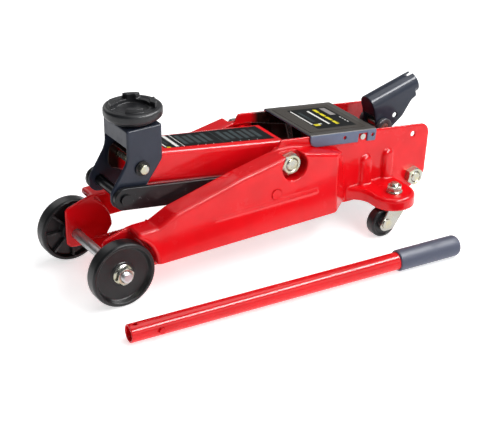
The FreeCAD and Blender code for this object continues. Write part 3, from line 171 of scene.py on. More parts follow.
def product(tree, first, *others):
    """The product of some values, each a socket or a number."""
    for other in others:
        first = math_node(tree, "MULTIPLY", first, other)
    return first


def split_vector(tree, source, output):
    """The three parts of a vector that a node of some kind puts out."""
    split = tree.nodes.new("ShaderNodeSeparateXYZ")
    tree.links.new(tree.nodes.new(source).outputs[output], split.inputs[0])
    return split.outputs


def split_place(tree):
    """A point's place in the part, axis by axis."""
    return split_vector(tree, "ShaderNodeTexCoord", "Object")


def split_normal(tree):
    """The way a point's surface faces, axis by axis."""
    return split_vector(tree, "ShaderNodeNewGeometry", "Normal")


def noise_node(tree, scale, detail, roughness=0.5, stretch=None):
    """Noise over the piece's own coordinates; the scale is a socket or a number, per metre."""
    place = tree.nodes.new("ShaderNodeTexCoord").outputs["Object"]
    if stretch is not None:
        mapping = tree.nodes.new("ShaderNodeMapping")
        mapping.inputs["Scale"].default_value = stretch
        tree.links.new(place, mapping.inputs["Vector"])
        place = mapping.outputs[0]
    noise = tree.nodes.new("ShaderNodeTexNoise")
    noise.inputs["Detail"].default_value = detail
    noise.inputs["Roughness"].default_value = roughness
    tree.links.new(place, noise.inputs["Vector"])
    feed(tree, noise.inputs["Scale"], scale)
    return noise.outputs["Fac"]


def spread(tree, value, low, high, to_low=0.0, to_high=1.0):
    """A value's range eased into another, clamped at both ends."""
    node = tree.nodes.new("ShaderNodeMapRange")
    node.interpolation_type = "SMOOTHSTEP"
    tree.links.new(value, node.inputs["Value"])
    for title, amount in (("From Min", low), ("From Max", high), ("To Min", to_low), ("To Max", to_high)):
        feed(tree, node.inputs[title], amount)
    return node.outputs["Result"]


def paint_skin_group():
    """Sprayed paint: a slow change of tone and the fine ripple of its surface."""
    scales = [("Ripple Scale", 900), ("Tone Scale", 22)]
    tree, given, put = new_group("Paint Skin", scales, ["Tone", "Height"])
    put("Tone", spread(tree, noise_node(tree, given["Tone Scale"], 3), 0.35, 0.7))
    put("Height", noise_node(tree, given["Ripple Scale"], 1))


def handling_group():
    """Finger marks and fine scuffs, as a roughness between two values."""
    tree, given, put = new_group("Handling Marks", [("Clean", 0.25), ("Marked", 0.45)], ["Roughness"])
    cloud = spread(tree, noise_node(tree, 34, 6, 0.62), 0.45, 0.72)
    streak = spread(tree, noise_node(tree, 60, 8, 0.7, (1, 1, 14)), 0.6, 0.68)
    amount = math_node(tree, "MAXIMUM", cloud, product(tree, streak, 0.6))
    put("Roughness", spread(tree, amount, 0, 1, given["Clean"], given["Marked"]))


def edge_rub_group():
    """Where hands and floors rub a finish thin: the outward edges, in patches."""
    tree, given, put = new_group("Edge Rub", [("Sharpness", 0.56), ("Patches", 0.5)], ["Mask", "Hollow"])
    bend = tree.nodes.new("ShaderNodeNewGeometry").outputs["Pointiness"]
    sharpness, patches = given["Sharpness"], given["Patches"]
    rim = spread(tree, bend, sharpness, math_node(tree, "ADD", sharpness, 0.06))
    patch = spread(tree, noise_node(tree, 160, 5, 0.7), patches, math_node(tree, "ADD", patches, 0.12))
    put("Mask", product(tree, rim, patch))
    put("Hollow", spread(tree, bend, 0.47, 0.40))


def cast_grain_group():
    """The sand grain of a casting, with coarse lumps under fine grit."""
    tree, given, put = new_group("Cast Grain", [("Scale", 1500)], ["Height", "Pits"])
    fine = noise_node(tree, given["Scale"], 4, 0.6)
    put("Height", math_node(tree, "ADD", fine, product(tree, noise_node(tree, 260, 2), 0.8)))
    put("Pits", spread(tree, fine, 0.42, 0.3))


def metal_bloom_group():
    """Fine tool lines and the clouded bloom of plated or ground steel."""
    tree, given, put = new_group("Metal Bloom", [("Grain", 700), ("Bloom", 90)], ["Bloom", "Height"])
    put("Bloom", spread(tree, noise_node(tree, given["Bloom"], 3, 0.6), 0.38, 0.66))
    put("Height", noise_node(tree, given["Grain"], 5, 0.7, (1, 6, 1)))


def printed_bar_group():
    """Mask of one printed bar: a rectangle in the label's own along and across shares."""
    limits = [("Start", 0), ("End", 1), ("Low", 0), ("High", 1)]
    tree, given, put = new_group("Printed Bar", [("Along", 0), ("Across", 0), *limits], ["Mask"])
    sides = [("GREATER_THAN", "Along", "Start"), ("LESS_THAN", "Along", "End"),
             ("GREATER_THAN", "Across", "Low"), ("LESS_THAN", "Across", "High")]
    tests = (math_node(tree, kind, given[value], given[limit]) for kind, value, limit in sides)
    put("Mask", product(tree, *tests))


# ---- materials

class Finish:
    """A material with a Principled shader, built up by its own methods."""

    def __init__(self, name, **constants):
        self.material = bpy.data.materials.new(name)
        self.material.use_nodes = True
        self.tree = self.material.node_tree
        self.shader = self.tree.nodes["Principled BSDF"]
        self.height = None
        for title, value in constants.items():
            self.shader.inputs[title.replace("_", " ")].default_value = value

    def group(self, name, **values):
        node = self.tree.nodes.new("ShaderNodeGroup")
        node.node_tree = bpy.data.node_groups[name]
        for title, value in values.items():
            feed(self.tree, node.inputs[title.replace("_", " ")], value)
        return node.outputs

    def drive(self, title, value):
        self.tree.links.new(value, self.shader.inputs[title])

    def mix(self, mask, first, second):
        """Two colours mixed by a mask; each is a socket or a plain colour."""
        node = self.tree.nodes.new("ShaderNodeMix")
        node.data_type = "RGBA"
        self.tree.links.new(mask, node.inputs[0])
        for socket, value in ((node.inputs[6], first), (node.inputs[7], second)):
            feed(self.tree, socket, value if isinstance(value, bpy.types.NodeSocket) else (*value, 1))
        return node.outputs[2]

    def bump(self, height, depth):
        """Relief of a height map, its depth in millimetres."""
        node = self.tree.nodes.new("ShaderNodeBump")
        node.inputs["Strength"].default_value = 1
        node.inputs["Distance"].default_value = depth * MM
        self.tree.links.new(height, node.inputs["Height"])
        self.drive("Normal", node.outputs[0])

    def texture(self, kind, mask, first, second, **values):
        """Two colours mixed by a shared texture, whose height then makes the relief."""
        outputs = self.group(kind, **values)
        self.height = outputs["Height"]
        return self.mix(outputs[mask], first, second)

    def edges(self, mask, body, paint, sharpness, patches):
        """A colour on the rubbed edges, with the mask "Mask", or in the corners, with "Hollow"."""
        return self.mix(self.group("Edge Rub", Sharpness=sharpness, Patches=patches)[mask], body, paint)

    def surface(self, paint, depth, clean, marked):
        """Close the material: its colour, its relief and its roughness, from clean to marked by handling."""
        self.drive("Base Color", paint)
        self.drive("Roughness", self.group("Handling Marks", Clean=clean, Marked=marked)["Roughness"])
        if self.height:
            self.bump(self.height, depth)
        return self.material


def dimmed(paint, share):
    """A colour with a share of its light."""
    return tuple(part * share for part in paint)


def painted_shade_inside_plates(tree):
    """Mask of the painted shade inside the side plates, between the arm's pivot and the rear of the cover,
    where shadow falls under the cover.
    """
    place, facing_way = split_place(tree), split_normal(tree)
    off_centre = math_node(tree, "SUBTRACT", place["Y"], middle("top_cover").y)
    outward = product(tree, off_centre, facing_way["Y"])
    endwise = product(tree, math_node(tree, "ABSOLUTE", facing_way["X"]), 20 * MM)
    inward = spread(tree, math_node(tree, "SUBTRACT", outward, endwise), -5 * MM, -18 * MM)
    cover_low, cover_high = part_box("top_cover")
    start, end = middle("arm_pivot_nut").x + 16 * MM, cover_high.x - 25 * MM
    past = spread(tree, place["X"], start - 6 * MM, start + 6 * MM)
    short = spread(tree, place["X"], end, end - 20 * MM)
    above = spread(tree, place["Z"], cover_low.z - 30 * MM, cover_low.z - 20 * MM)
    return product(tree, inward, past, short, above)


def painted_shade_on_arm_nose(tree):
    """Mask of the painted shade on the arm's nose, inside the bracket, where shadow falls."""
    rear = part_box("saddle_bracket")[1].x
    return spread(tree, split_place(tree)["X"], rear - 22 * MM, rear - 30 * MM)


def red_enamel(paints, name="red_enamel", painted_shade_mask=None):
    """Gloss enamel with a faint ripple, deeper in tone where it gathers, and darkened with painted shade
    where a mask says.
    """
    finish = Finish(name, Coat_Weight=0.5, Coat_Roughness=0.1, IOR=1.5, Specular_IOR_Level=0.08)
    deep = paints.enamel_deep
    body = finish.texture("Paint Skin", "Tone", paints.enamel, deep)
    gathered = finish.edges("Hollow", body, dimmed(deep, 0.6), 0.6, 0.72)
    look = finish.edges("Mask", gathered, dimmed(deep, 0.35), 0.6, 0.72)
    if painted_shade_mask:
        # Painted shade: where the mask says, the enamel turns to a near-black brown that stands for shadow.
        look = finish.mix(painted_shade_mask(finish.tree), look, paints.painted_shade)
    return finish.surface(look, 0.03, 0.22, 0.3)


def satin_black(paints, name="satin_black", paint=None):
    """Blue-black satin paint, rubbed thin on its edges."""
    paint = paint or paints.satin
    finish = Finish(name, Coat_Weight=0.35, Coat_Roughness=0.14, IOR=1.5, Specular_IOR_Level=0.15)
    body = finish.texture("Paint Skin", "Tone", paint, dimmed(paint, 0.85), Ripple_Scale=1400)
    look = finish.edges("Mask", body, dimmed(paints.steel, 0.35), 0.57, 0.6)
    return finish.surface(look, 0.04, 0.38, 0.55)


def black_oxide(paints):
    """The saddle's oxide finish over its cast grain."""
    finish = Finish("black_oxide", Coat_Weight=0.1, Coat_Roughness=0.3, Specular_IOR_Level=0.4)
    body = finish.texture("Cast Grain", "Pits", paints.cast_black, dimmed(paints.cast_black, 0.45))
    look = finish.edges("Mask", body, dimmed(paints.steel, 0.28), 0.56, 0.5)
    return finish.surface(look, 0.09, 0.36, 0.56)


def cover_paint(paints):
    """The cover sheet: charcoal on top, and on the folded edges a lighter, bluer slate that is painted light,
    picked by which way each face turns.
    """
    finish = Finish("cover_paint", Coat_Weight=0.08, Coat_Roughness=0.3, Specular_IOR_Level=0.3)
    lit_folds, flat = (finish.texture("Paint Skin", "Tone", paint, dimmed(paint, share), Ripple_Scale=1200)
                   for paint, share in ((paints.flange, 0.85), (paints.charcoal, 0.8)))
    # Painted light: faces turned up take the charcoal, the rest the lighter slate.
    top = spread(finish.tree, split_normal(finish.tree)["Z"], 0.4, 0.85)
    return finish.surface(finish.mix(top, lit_folds, flat), 0.04, 0.36, 0.5)


def zinc_plate(paints, name="zinc_plate", tint=0.55):
    """Bright plating with a yellow bloom, dull in its corners."""
    finish = Finish(name, Metallic=0.85)
    tinted = tuple(a + (b - a) * tint for a, b in zip(paints.zinc, paints.zinc_tint))
    body = finish.texture("Metal Bloom", "Bloom", paints.zinc, tinted, Bloom=130)
    look = finish.edges("Hollow", body, dimmed(paints.zinc_tint, 0.4), 0.54, 0.45)
    return finish.surface(look, 0.02, 0.2, 0.42)


def bare_steel(paints):
    """Ground rods and pins with fine tool lines."""
    finish = Finish("bare_steel", Metallic=1.0)
    look = finish.texture("Metal Bloom", "Bloom", paints.steel, dimmed(paints.steel, 0.7), Grain=1100)
    return finish.surface(look, 0.025, 0.24, 0.42)


def oiled_casting(paints):
    """Grey cast iron, darkened by an oily film in its hollows."""
    finish = Finish("oiled_casting", Metallic=0.6, Coat_Weight=0.2, Coat_Roughness=0.25)
    body = finish.texture("Cast Grain", "Pits", paints.casting, dimmed(paints.casting, 0.5), Scale=900)
    look = finish.edges("Hollow", body, dimmed(paints.casting, 0.3), 0.55, 0.5)
    return finish.surface(look, 0.12, 0.35, 0.6)


def black_nylon(paints):
    """Moulded wheels: a fine matt texture, dusty on the edges."""
    finish = Finish("black_nylon", Specular_IOR_Level=0.35, IOR=1.5)
    body = finish.texture("Cast Grain", "Pits", paints.nylon, dimmed(paints.nylon, 0.6), Scale=2600)
    look = finish.edges("Mask", body, tuple(part + 0.05 for part in paints.nylon), 0.54, 0.45)
    return finish.surface(look, 0.03, 0.3, 0.5)


def grey_vinyl(paints):
    """The dipped grip, slightly dimpled."""
    finish = Finish("grey_vinyl", Sheen_Weight=0.15)
    look = finish.texture("Cast Grain", "Pits", paints.vinyl, dimmed(paints.vinyl, 0.8), Scale=800)
    return finish.surface(look, 0.06, 0.48, 0.66)


def studio_floor():
    """A matt white light table."""
    finish = Finish("studio_floor", Roughness=0.9, Specular_IOR_Level=0.1, Emission_Strength=0.62)
    soft = finish.group("Paint Skin", Tone_Scale=2)
    finish.shader.inputs["Emission Color"].default_value = (1, 1, 1, 1)
    finish.drive("Base Color", finish.mix(soft["Tone"], (0.92, 0.92, 0.92), (0.9, 0.9, 0.905)))
    return finish.material


# Bars are (start, end, low, high): shares of a label's length from the saddle end, and of its width from the
# left side.

def block(start, end, low, high, count, fill=0.55):
    """A run of short bars that stands for a line of writing."""
    step = (end - start) / count
    return [(start + i * step, start + (i + fill) * step, low + 0.05 * (i % 3 == 1), high - 0.08 * (i % 2))
            for i in range(count)]


def column(start, end, low, high, count, fill=0.8):
    """The same across the label."""
    step = (high - low) / count
    return [(start, end, low + i * step, low + (i + fill) * step) for i in range(count)]


ARM_PRINT = {
    "white": [(0.01, 0.024, 0.12, 0.9), (0.1, 0.13, 0.08, 0.92), (0.168, 0.175, 0.06, 0.94),
              *[(at, at + 0.008, 0.03, 0.06) for at in (0.22, 0.29, 0.36, 0.43, 0.6, 0.68, 0.76, 0.84)]],
    "yellow": [(0.02, 0.055, 0.03, 0.12)],
    "grey": [*column(0.045, 0.065, 0.3, 0.85, 6, 0.6), *block(0.2, 0.49, 0.2, 0.84, 5, 0.6),
             (0.53, 0.537, 0.05, 0.95), *block(0.58, 0.95, 0.2, 0.84, 6, 0.6)],
}
COVER_PRINT = {
    "white": [(0.03, 0.065, 0.23, 0.94), (0.2, 0.28, 0.2, 0.24), (0.41, 0.465, 0.18, 0.88),
              *column(0.925, 0.95, 0.18, 0.5, 4, 0.6)],
    "yellow": [(0.06, 0.2, 0.14, 0.23), *column(0.59, 0.67, 0.14, 0.95, 4, 0.82)],
    "grey": [*column(0.15, 0.23, 0.36, 0.86, 8, 0.6)],
    "pale": [(0.8, 0.94, 0.58, 0.95)],
}

# The black film's own place on each plate, in the same shares: the rest of the plate is painted.
ARM_FILM = (0, 0.965, 0, 1)
COVER_FILM = (0.2, 0.9, 0.095, 0.905)


def label_film(name, node, prints, film, around, paints):
    """Black film printed with plain bars, on a painted plate."""
    finish = Finish(name, Specular_IOR_Level=0.05)
    low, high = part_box(node)
    place = split_place(finish.tree)
    shares = []
    for axis, (first, last) in enumerate((film[:2], film[2:])):
        side = high[axis] - low[axis]
        past = math_node(finish.tree, "SUBTRACT", place[axis], low[axis] + first * side)
        shares.append(math_node(finish.tree, "DIVIDE", past, (last - first) * side))

    def printed(bar):
        limits = dict(zip(("Start", "End", "Low", "High"), bar))
        return finish.group("Printed Bar", Along=shares[0], Across=shares[1], **limits)["Mask"]

    look = finish.mix(printed((0, 1, 0, 1)), around, paints.film)
    for ink, bars in prints.items():
        mask = printed(bars[0])
        for bar in bars[1:]:
            mask = math_node(finish.tree, "MAXIMUM", mask, printed(bar))
        look = finish.mix(mask, look, getattr(paints, "print_" + ink))
    return finish.surface(look, 0, 0.28, 0.42)


# ---- mesh helpers

def placed(name, data):
    """A new object in the scene."""
    item = bpy.data.objects.new(name, data)
    bpy.context.scene.collection.objects.link(item)
    return item


def add(name, mesh, finish, slot, body, *replaced):
    """Put a finished mesh in the scene on a body, in place of CAD nodes."""
    piece = placed(name, mesh)
    mesh.materials.clear()
    mesh.materials.append(bpy.data.materials[finish])
    if body:
        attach(piece, body)
    if replaced:
        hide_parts(*replaced)
    return piece


def dress(finish, *nodes):
    """Give carried-over nodes their finish."""
    for node in nodes:
        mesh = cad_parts[node].data
        mesh.materials.clear()
        mesh.materials.append(bpy.data.materials[finish])


def soften(node, voxel, passes, name, finish, slot, body, keep=1.0):
    """Stand in for a node its own solid with the rounded bends and edges of a pressing or a casting."""
    rough = placed("rough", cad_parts[node].data.copy())
    remesh = rough.modifiers.new("remesh", "REMESH")
    remesh.mode = "VOXEL"
    remesh.voxel_size = voxel
    smooth = rough.modifiers.new("smooth", "SMOOTH")
    smooth.factor = 0.5
    smooth.iterations = passes
    if keep < 1:
        rough.modifiers.new("thin", "DECIMATE").ratio = keep
    graph = bpy.context.evaluated_depsgraph_get()
    mesh = bpy.data.meshes.new_from_object(rough.evaluated_get(graph))
    bpy.data.objects.remove(rough)
    mesh.shade_smooth()
    add(name, mesh, finish, slot, body, node)


def fasten(name, shape, node, sharp=NUT_SHARP):
    """Put a plated nut or bolt on the chassis, in place of a node."""
    add(name, finished(shape, sharp), "zinc_plate", "zinc", "chassis", node)


def half_size(node):
    """Half a turned node's length along Y, and its radius, in millimetres."""
    low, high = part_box(node)
    return (high.y - low.y) / 2 / MM, (high.z - low.z) / 2 / MM


def finished(shape, sharp=SHARP):
    """A mesh from a bmesh, smooth but for edges turned more than some degrees."""
    bmesh.ops.recalc_face_normals(shape, faces=shape.faces)
    mesh = bpy.data.meshes.new("piece")
    shape.to_mesh(mesh)
    shape.free()
    mesh.shade_smooth()
    mesh.set_sharp_from_angle(angle=math.radians(sharp))
    return mesh


def rounded(corners, steps=4):
    """Profile corners (along, out, rounding) turned into points, with a curve at each rounding."""
    points = []
    for i, (along, out, radius) in enumerate(corners):
        corner = Vector((along, out))
        if not radius:
            points.append(tuple(corner))
            continue
        back = (Vector(corners[i - 1][:2]) - corner).normalized()
        ahead = (Vector(corners[(i + 1) % len(corners)][:2]) - corner).normalized()
        reach = radius / math.tan(back.angle(ahead) / 2)
        first, last = corner + back * reach, corner + ahead * reach
        for k in range(steps + 1):
            t = k / steps
            points.append(tuple(first * (1 - t) ** 2 + corner * (2 * t * (1 - t)) + last * t ** 2))
    return points


def spin(shape, profile, place, steps=72, closed=True):
    """Skin a profile round an axis: points (along, radius) in millimetres; each may depend on the angle."""
    rings = []
    for along, radius in profile:
        ring = []
        for i in range(steps):
            angle = TURN * i / steps
            out = radius(angle) if callable(radius) else radius
            up = along(angle) if callable(along) else along
            ring.append(shape.verts.new(place @ Vector((out * math.cos(angle), out * math.sin(angle), up))))
            if not callable(radius) and radius == 0:
                break
        rings.append(ring)
    pairs = list(zip(rings, rings[1:]))
    if closed:
        pairs.append((rings[-1], rings[0]))
    for near, far in pairs:
        for i in range(steps):
            a, b = near[i % len(near)], near[(i + 1) % len(near)]
            c, d = far[(i + 1) % len(far)], far[i % len(far)]
            corners = list(dict.fromkeys((a, b, c, d)))
            if len(corners) > 2:
                shape.faces.new(corners)
    return shape


def scaled(at, direction):
    """A place for spin: millimetres along a direction from a point in metres."""
    turn = Vector(direction).to_track_quat("Z", "Y").to_matrix().to_4x4()
    return Matrix.Translation(at) @ turn @ Matrix.Scale(MM, 4)


def hexagon(across):
    """Radius of a hexagon over its flats, at an angle."""
    return lambda angle: across / 2 / math.cos(angle % (TURN / 6) - TURN / 12)


def crowned(across, height, face):
    """Height of a hexagon's corners where a cone cuts them back."""
    flat = hexagon(across)
    return lambda angle: height - max(0, flat(angle) - face) * math.tan(math.radians(30))


def nut(across, height, bore, flange=0):
    """Closed profile of a nut, with a flange below it where one is given."""
    flat, face = hexagon(across), across / 2 * 0.96
    foot = [(0, bore), (0, flat)]
    if flange:
        foot = [(0, bore), (0, flange - 0.3), (0.4, flange), (1.2, flange - 0.1), (2.0, flange - 0.9),
                (2.6, lambda angle: flat(angle) + 0.25)]
    return [*foot, (foot[-1][0] + 0.4 if flange else 0.01, flat), (crowned(across, height, face), flat),
            (height, face), (height, bore + 0.9), (height - 0.9, bore)]


def thread(radius, pitch, start, tip, shank=None):
    """Profile of a threaded end from its root, or from a shank given as a profile, to its chamfered tip."""
    end = tip - 0.2
    tooth = 0.54 * pitch
    count = max(8, round((end - start) / pitch * 6))

    def groove(up):
        def at(angle):
            phase = (up / pitch - angle / TURN) % 1
            near_end = min(1, (end - up) / pitch)
            return radius - tooth * abs(2 * phase - 1) - tooth * 0.9 * (1 - near_end)
        return at

    heights = [start + (end - start) * k / count for k in range(count + 1)]
    turns = [(up, groove(up)) for up in heights]
    return [*(shank or [(start, 0)]), *turns, (end + 0.15, radius * 0.45), (tip, 0)]


def seats(node, inset):
    """Places that face outwards along Y, some millimetres inside each end of a node."""
    low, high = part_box(node)
    centre = middle(node)
    for sign, face in ((LEFT, low.y), (RIGHT, high.y)):
        yield scaled(Vector((centre.x, face - sign * inset * MM, centre.z)), (0, sign, 0))


def turned(degrees):
    """A turn about a piece's own axis."""
    return Matrix.Rotation(math.radians(degrees), 4, "Z")


def rod(shape, centre, half, radius):
    """Skin a plain rod that lies along Y, its half length and radius in millimetres."""
    profile = [(-half, 0), (-half, radius), (half, radius), (half, 0)]
    spin(shape, profile, scaled(centre, ACROSS), SHAFT, closed=False)


def skinned(shape, rings):
    """Join equal rings of vertices into a tube, closed at both ends."""
    for near, far in zip(rings, rings[1:]):
        for k in range(len(near)):
            after = (k + 1) % len(near)
            shape.faces.new((near[k], near[after], far[after], far[k]))
    shape.faces.new(rings[0])
    shape.faces.new(rings[-1])


def tube(shape, path, radius, sides=10):
    """Skin a round wire along points in metres."""
    rings = []
    normal = (path[1] - path[0]).orthogonal().normalized()
    for i, point in enumerate(path):
        ahead = (path[min(i + 1, len(path) - 1)] - path[max(i - 1, 0)]).normalized()
        normal = (normal - ahead * normal.dot(ahead)).normalized()
        side = ahead.cross(normal)
        angles = (TURN * k / sides for k in range(sides))
        rings.append([shape.verts.new(point + (normal * math.cos(angle) + side * math.sin(angle)) * radius)
                      for angle in angles])
    skinned(shape, rings)


# ---- operators

class JackOperator:
    """What every builder shares: it builds from the scene's own jack settings."""

    bl_options = {"REGISTER", "UNDO"}

    def execute(self, context):
        self.build(context.scene)
        return {"FINISHED"}


class JACK_OT_finishes(JackOperator, bpy.types.Operator):
    """Make the shared shader groups and the jack's materials"""

    bl_idname = "jack.finishes"
    bl_label = "Finishes"

    def build(self, scene):
        paints = scene.jack_paints
        for group in (paint_skin_group, handling_group, edge_rub_group, cast_grain_group, metal_bloom_group,
                      printed_bar_group):
            group()
        for finish in (red_enamel, satin_black, black_oxide, cover_paint, zinc_plate, bare_steel,
                       oiled_casting, black_nylon, grey_vinyl):
            finish(paints)
        # The side plates' enamel carries painted shade inside, behind the arm's pivot.
        red_enamel(paints, "plate_enamel_painted_shade", painted_shade_inside_plates)
        # The arm's enamel carries painted shade on its nose inside the bracket.
        red_enamel(paints, "arm_enamel_painted_shade", painted_shade_on_arm_nose)
        satin_black(paints, "rod_paint", paints.rod_black)
        zinc_plate(paints, "fork_plate", 0.15)
        label_film("arm_film", "arm_label", ARM_PRINT, ARM_FILM, paints.enamel, paints)
        label_film("cover_film", "cover_label", COVER_PRINT, COVER_FILM, paints.charcoal, paints)


class JACK_OT_chassis(JackOperator, bpy.types.Operator):
    """Press the side plates, fold the tray and cover, and weld the tray in"""

    bl_idname = "jack.chassis"
    bl_label = "Chassis"

    # The weld beads: steps, facets, steps in each taper, and in metres how far a bead stops short of the
    # tray's rear edge, its height over the tray's underside and how deep it sinks towards the middle.
    WELD_STEPS, WELD_SIDES, WELD_TAPER = 60, 12, 4
    WELD_SHORT, WELD_HEIGHT, WELD_SUNK = 6 * MM, 3.4 * MM, 0.4 * MM

    def build(self, scene):
        shape = scene.jack_shape
        for side, _ in SIDES:
            soften(f"side_plate_{side}", shape.plate_voxel, 6, f"pressed_plate_{side}", "plate_enamel_painted_shade",
                   "red_paint", "chassis")
        soften("front_tray", shape.sheet_voxel, 4, "folded_tray", "red_enamel", "red_paint", "chassis")
        soften("top_cover", shape.fine_voxel, 4, "folded_cover", "cover_paint", "cover_sheet", "chassis", 0.5)
        self.weld_tray(shape.weld)
        dress("cover_film", "cover_label")
        dress("red_enamel", "rod_studs")

    def weld_tray(self, radius):
        """Rippled weld beads where the tray meets the plates, on its upper face."""
        low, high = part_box("front_tray")
        run = high.x - low.x - self.WELD_SHORT
        ring = [Vector((0, math.cos(TURN * k / self.WELD_SIDES), math.sin(TURN * k / self.WELD_SIDES)))
                for k in range(self.WELD_SIDES)]
        for side, sign in SIDES:
            bead = bmesh.new()
            wall = (high.y if sign > 0 else low.y) - sign * self.WELD_SUNK
            rings = []
            for i in range(self.WELD_STEPS + 1):
                point = Vector((low.x + run * i / self.WELD_STEPS, wall, low.z + self.WELD_HEIGHT))
                swell = radius * (1 + 0.16 * math.sin(i * 1.9) + 0.06 * math.sin(i * 0.7))
                taper = min(1, (i + 1) / self.WELD_TAPER, (self.WELD_STEPS + 1 - i) / self.WELD_TAPER)
                rings.append([bead.verts.new(point + out * swell * taper) for out in ring])
            skinned(bead, rings)
            add(f"tray_weld_{side}", finished(bead), "red_enamel", "red_paint", "chassis")


class JACK_OT_lifting_gear(JackOperator, bpy.types.Operator):
    """Shape the arm, bracket and saddle, and finish the rods and pins"""

    bl_idname = "jack.lifting_gear"
    bl_label = "Lifting Gear"

    def build(self, scene):
        shape = scene.jack_shape
        soften("lift_arm", shape.sheet_voxel, 3, "pressed_arm", "arm_enamel_painted_shade", "red_paint", "lift_arm")
        soften("saddle_bracket", shape.fine_voxel, 5, "folded_bracket", "satin_black", "black_paint",
               "saddle_bracket", 0.6)
        soften("saddle", shape.fine_voxel, 8, "cast_saddle", "black_oxide", "black_cast", "saddle")
        dress("rod_paint", "link_rod_left", "link_rod_right", "bracket_washers", "rod_pin")
        dress("bare_steel", "ram_pin", "spring_hooks")
        dress("red_enamel", "arm_pivot_sleeves")
        dress("black_oxide", "saddle_clip")
        dress("arm_film", "arm_label")
        self.bracket_pin()

    def bracket_pin(self):
        """The pin's domed zinc heads and its shank."""
        half, radius = half_size("bracket_pin")
        profile = rounded([(-half, 0, 0), (-half, radius, 0.9), (half, radius, 0.9), (half, 0, 0)])
        pin = spin(bmesh.new(), profile, scaled(middle("bracket_pin"), ACROSS), PIN, closed=False)
        add("turned_bracket_pin", finished(pin), "zinc_plate", "zinc", "saddle_bracket", "bracket_pin")


class JACK_OT_hydraulics(JackOperator, bpy.types.Operator):
    """Cast the pump block and finish the ram, cylinder and pump"""

    bl_idname = "jack.hydraulics"
    bl_label = "Hydraulics"

    # The release spindle's collar: radius, depth of a knurl and their count. Then its cross pin's place, in
    # millimetres from the front end.
    COLLAR, KNURL, KNURLS = 8, 0.35, 36
    CROSS_PIN = 21

    def build(self, scene):
        shape = scene.jack_shape
        soften("pump_block", shape.sheet_voxel, 4, "cast_block", "oiled_casting", "pump_cast", "chassis", 0.6)
        dress("oiled_casting", "gland_nut")
        dress("satin_black", "reservoir_shell", "ram_cylinder")
        dress("bare_steel", "ram", "pump_plunger", "pump_roller", "filler_plug")
        dress("zinc_plate", "valve_caps", "socket_pin", "cover_screws")
        self.valve()

    def valve(self):
        """The release spindle: knurled collar and the cross pin that the handle's notch turns."""
        node = "release_valve"
        low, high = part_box(node)
        centre = middle(node)
        end, span = (high.x - low.x) / MM, (high.y - low.y) / MM

        def knurl(angle):
            return self.COLLAR - self.KNURL * (0.5 + 0.5 * math.cos(self.KNURLS * angle))

        profile = [(0, 0), (0.6, 4.6), (1, 5), (12, 5), (12, 7.4), (12.6, knurl), (16.4, knurl), (17, 7.4),
                   (17, 5), (end - 0.8, 5), (end, 4.2), (end, 0)]
        front = scaled(Vector((low.x, centre.y, centre.z)), (1, 0, 0))
        spindle = spin(bmesh.new(), profile, front, KNURLED, closed=False)
        cross = rounded([(0, 0, 0), (0, 1.6, 0.5), (span, 1.6, 0.5), (span, 0, 0)])
        side = scaled(Vector((low.x + self.CROSS_PIN * MM, low.y, centre.z)), ACROSS)
        spin(spindle, cross, side, THIN_PIN, closed=False)
        add("release_spindle", finished(spindle), "bare_steel", "bare_steel", node, node)


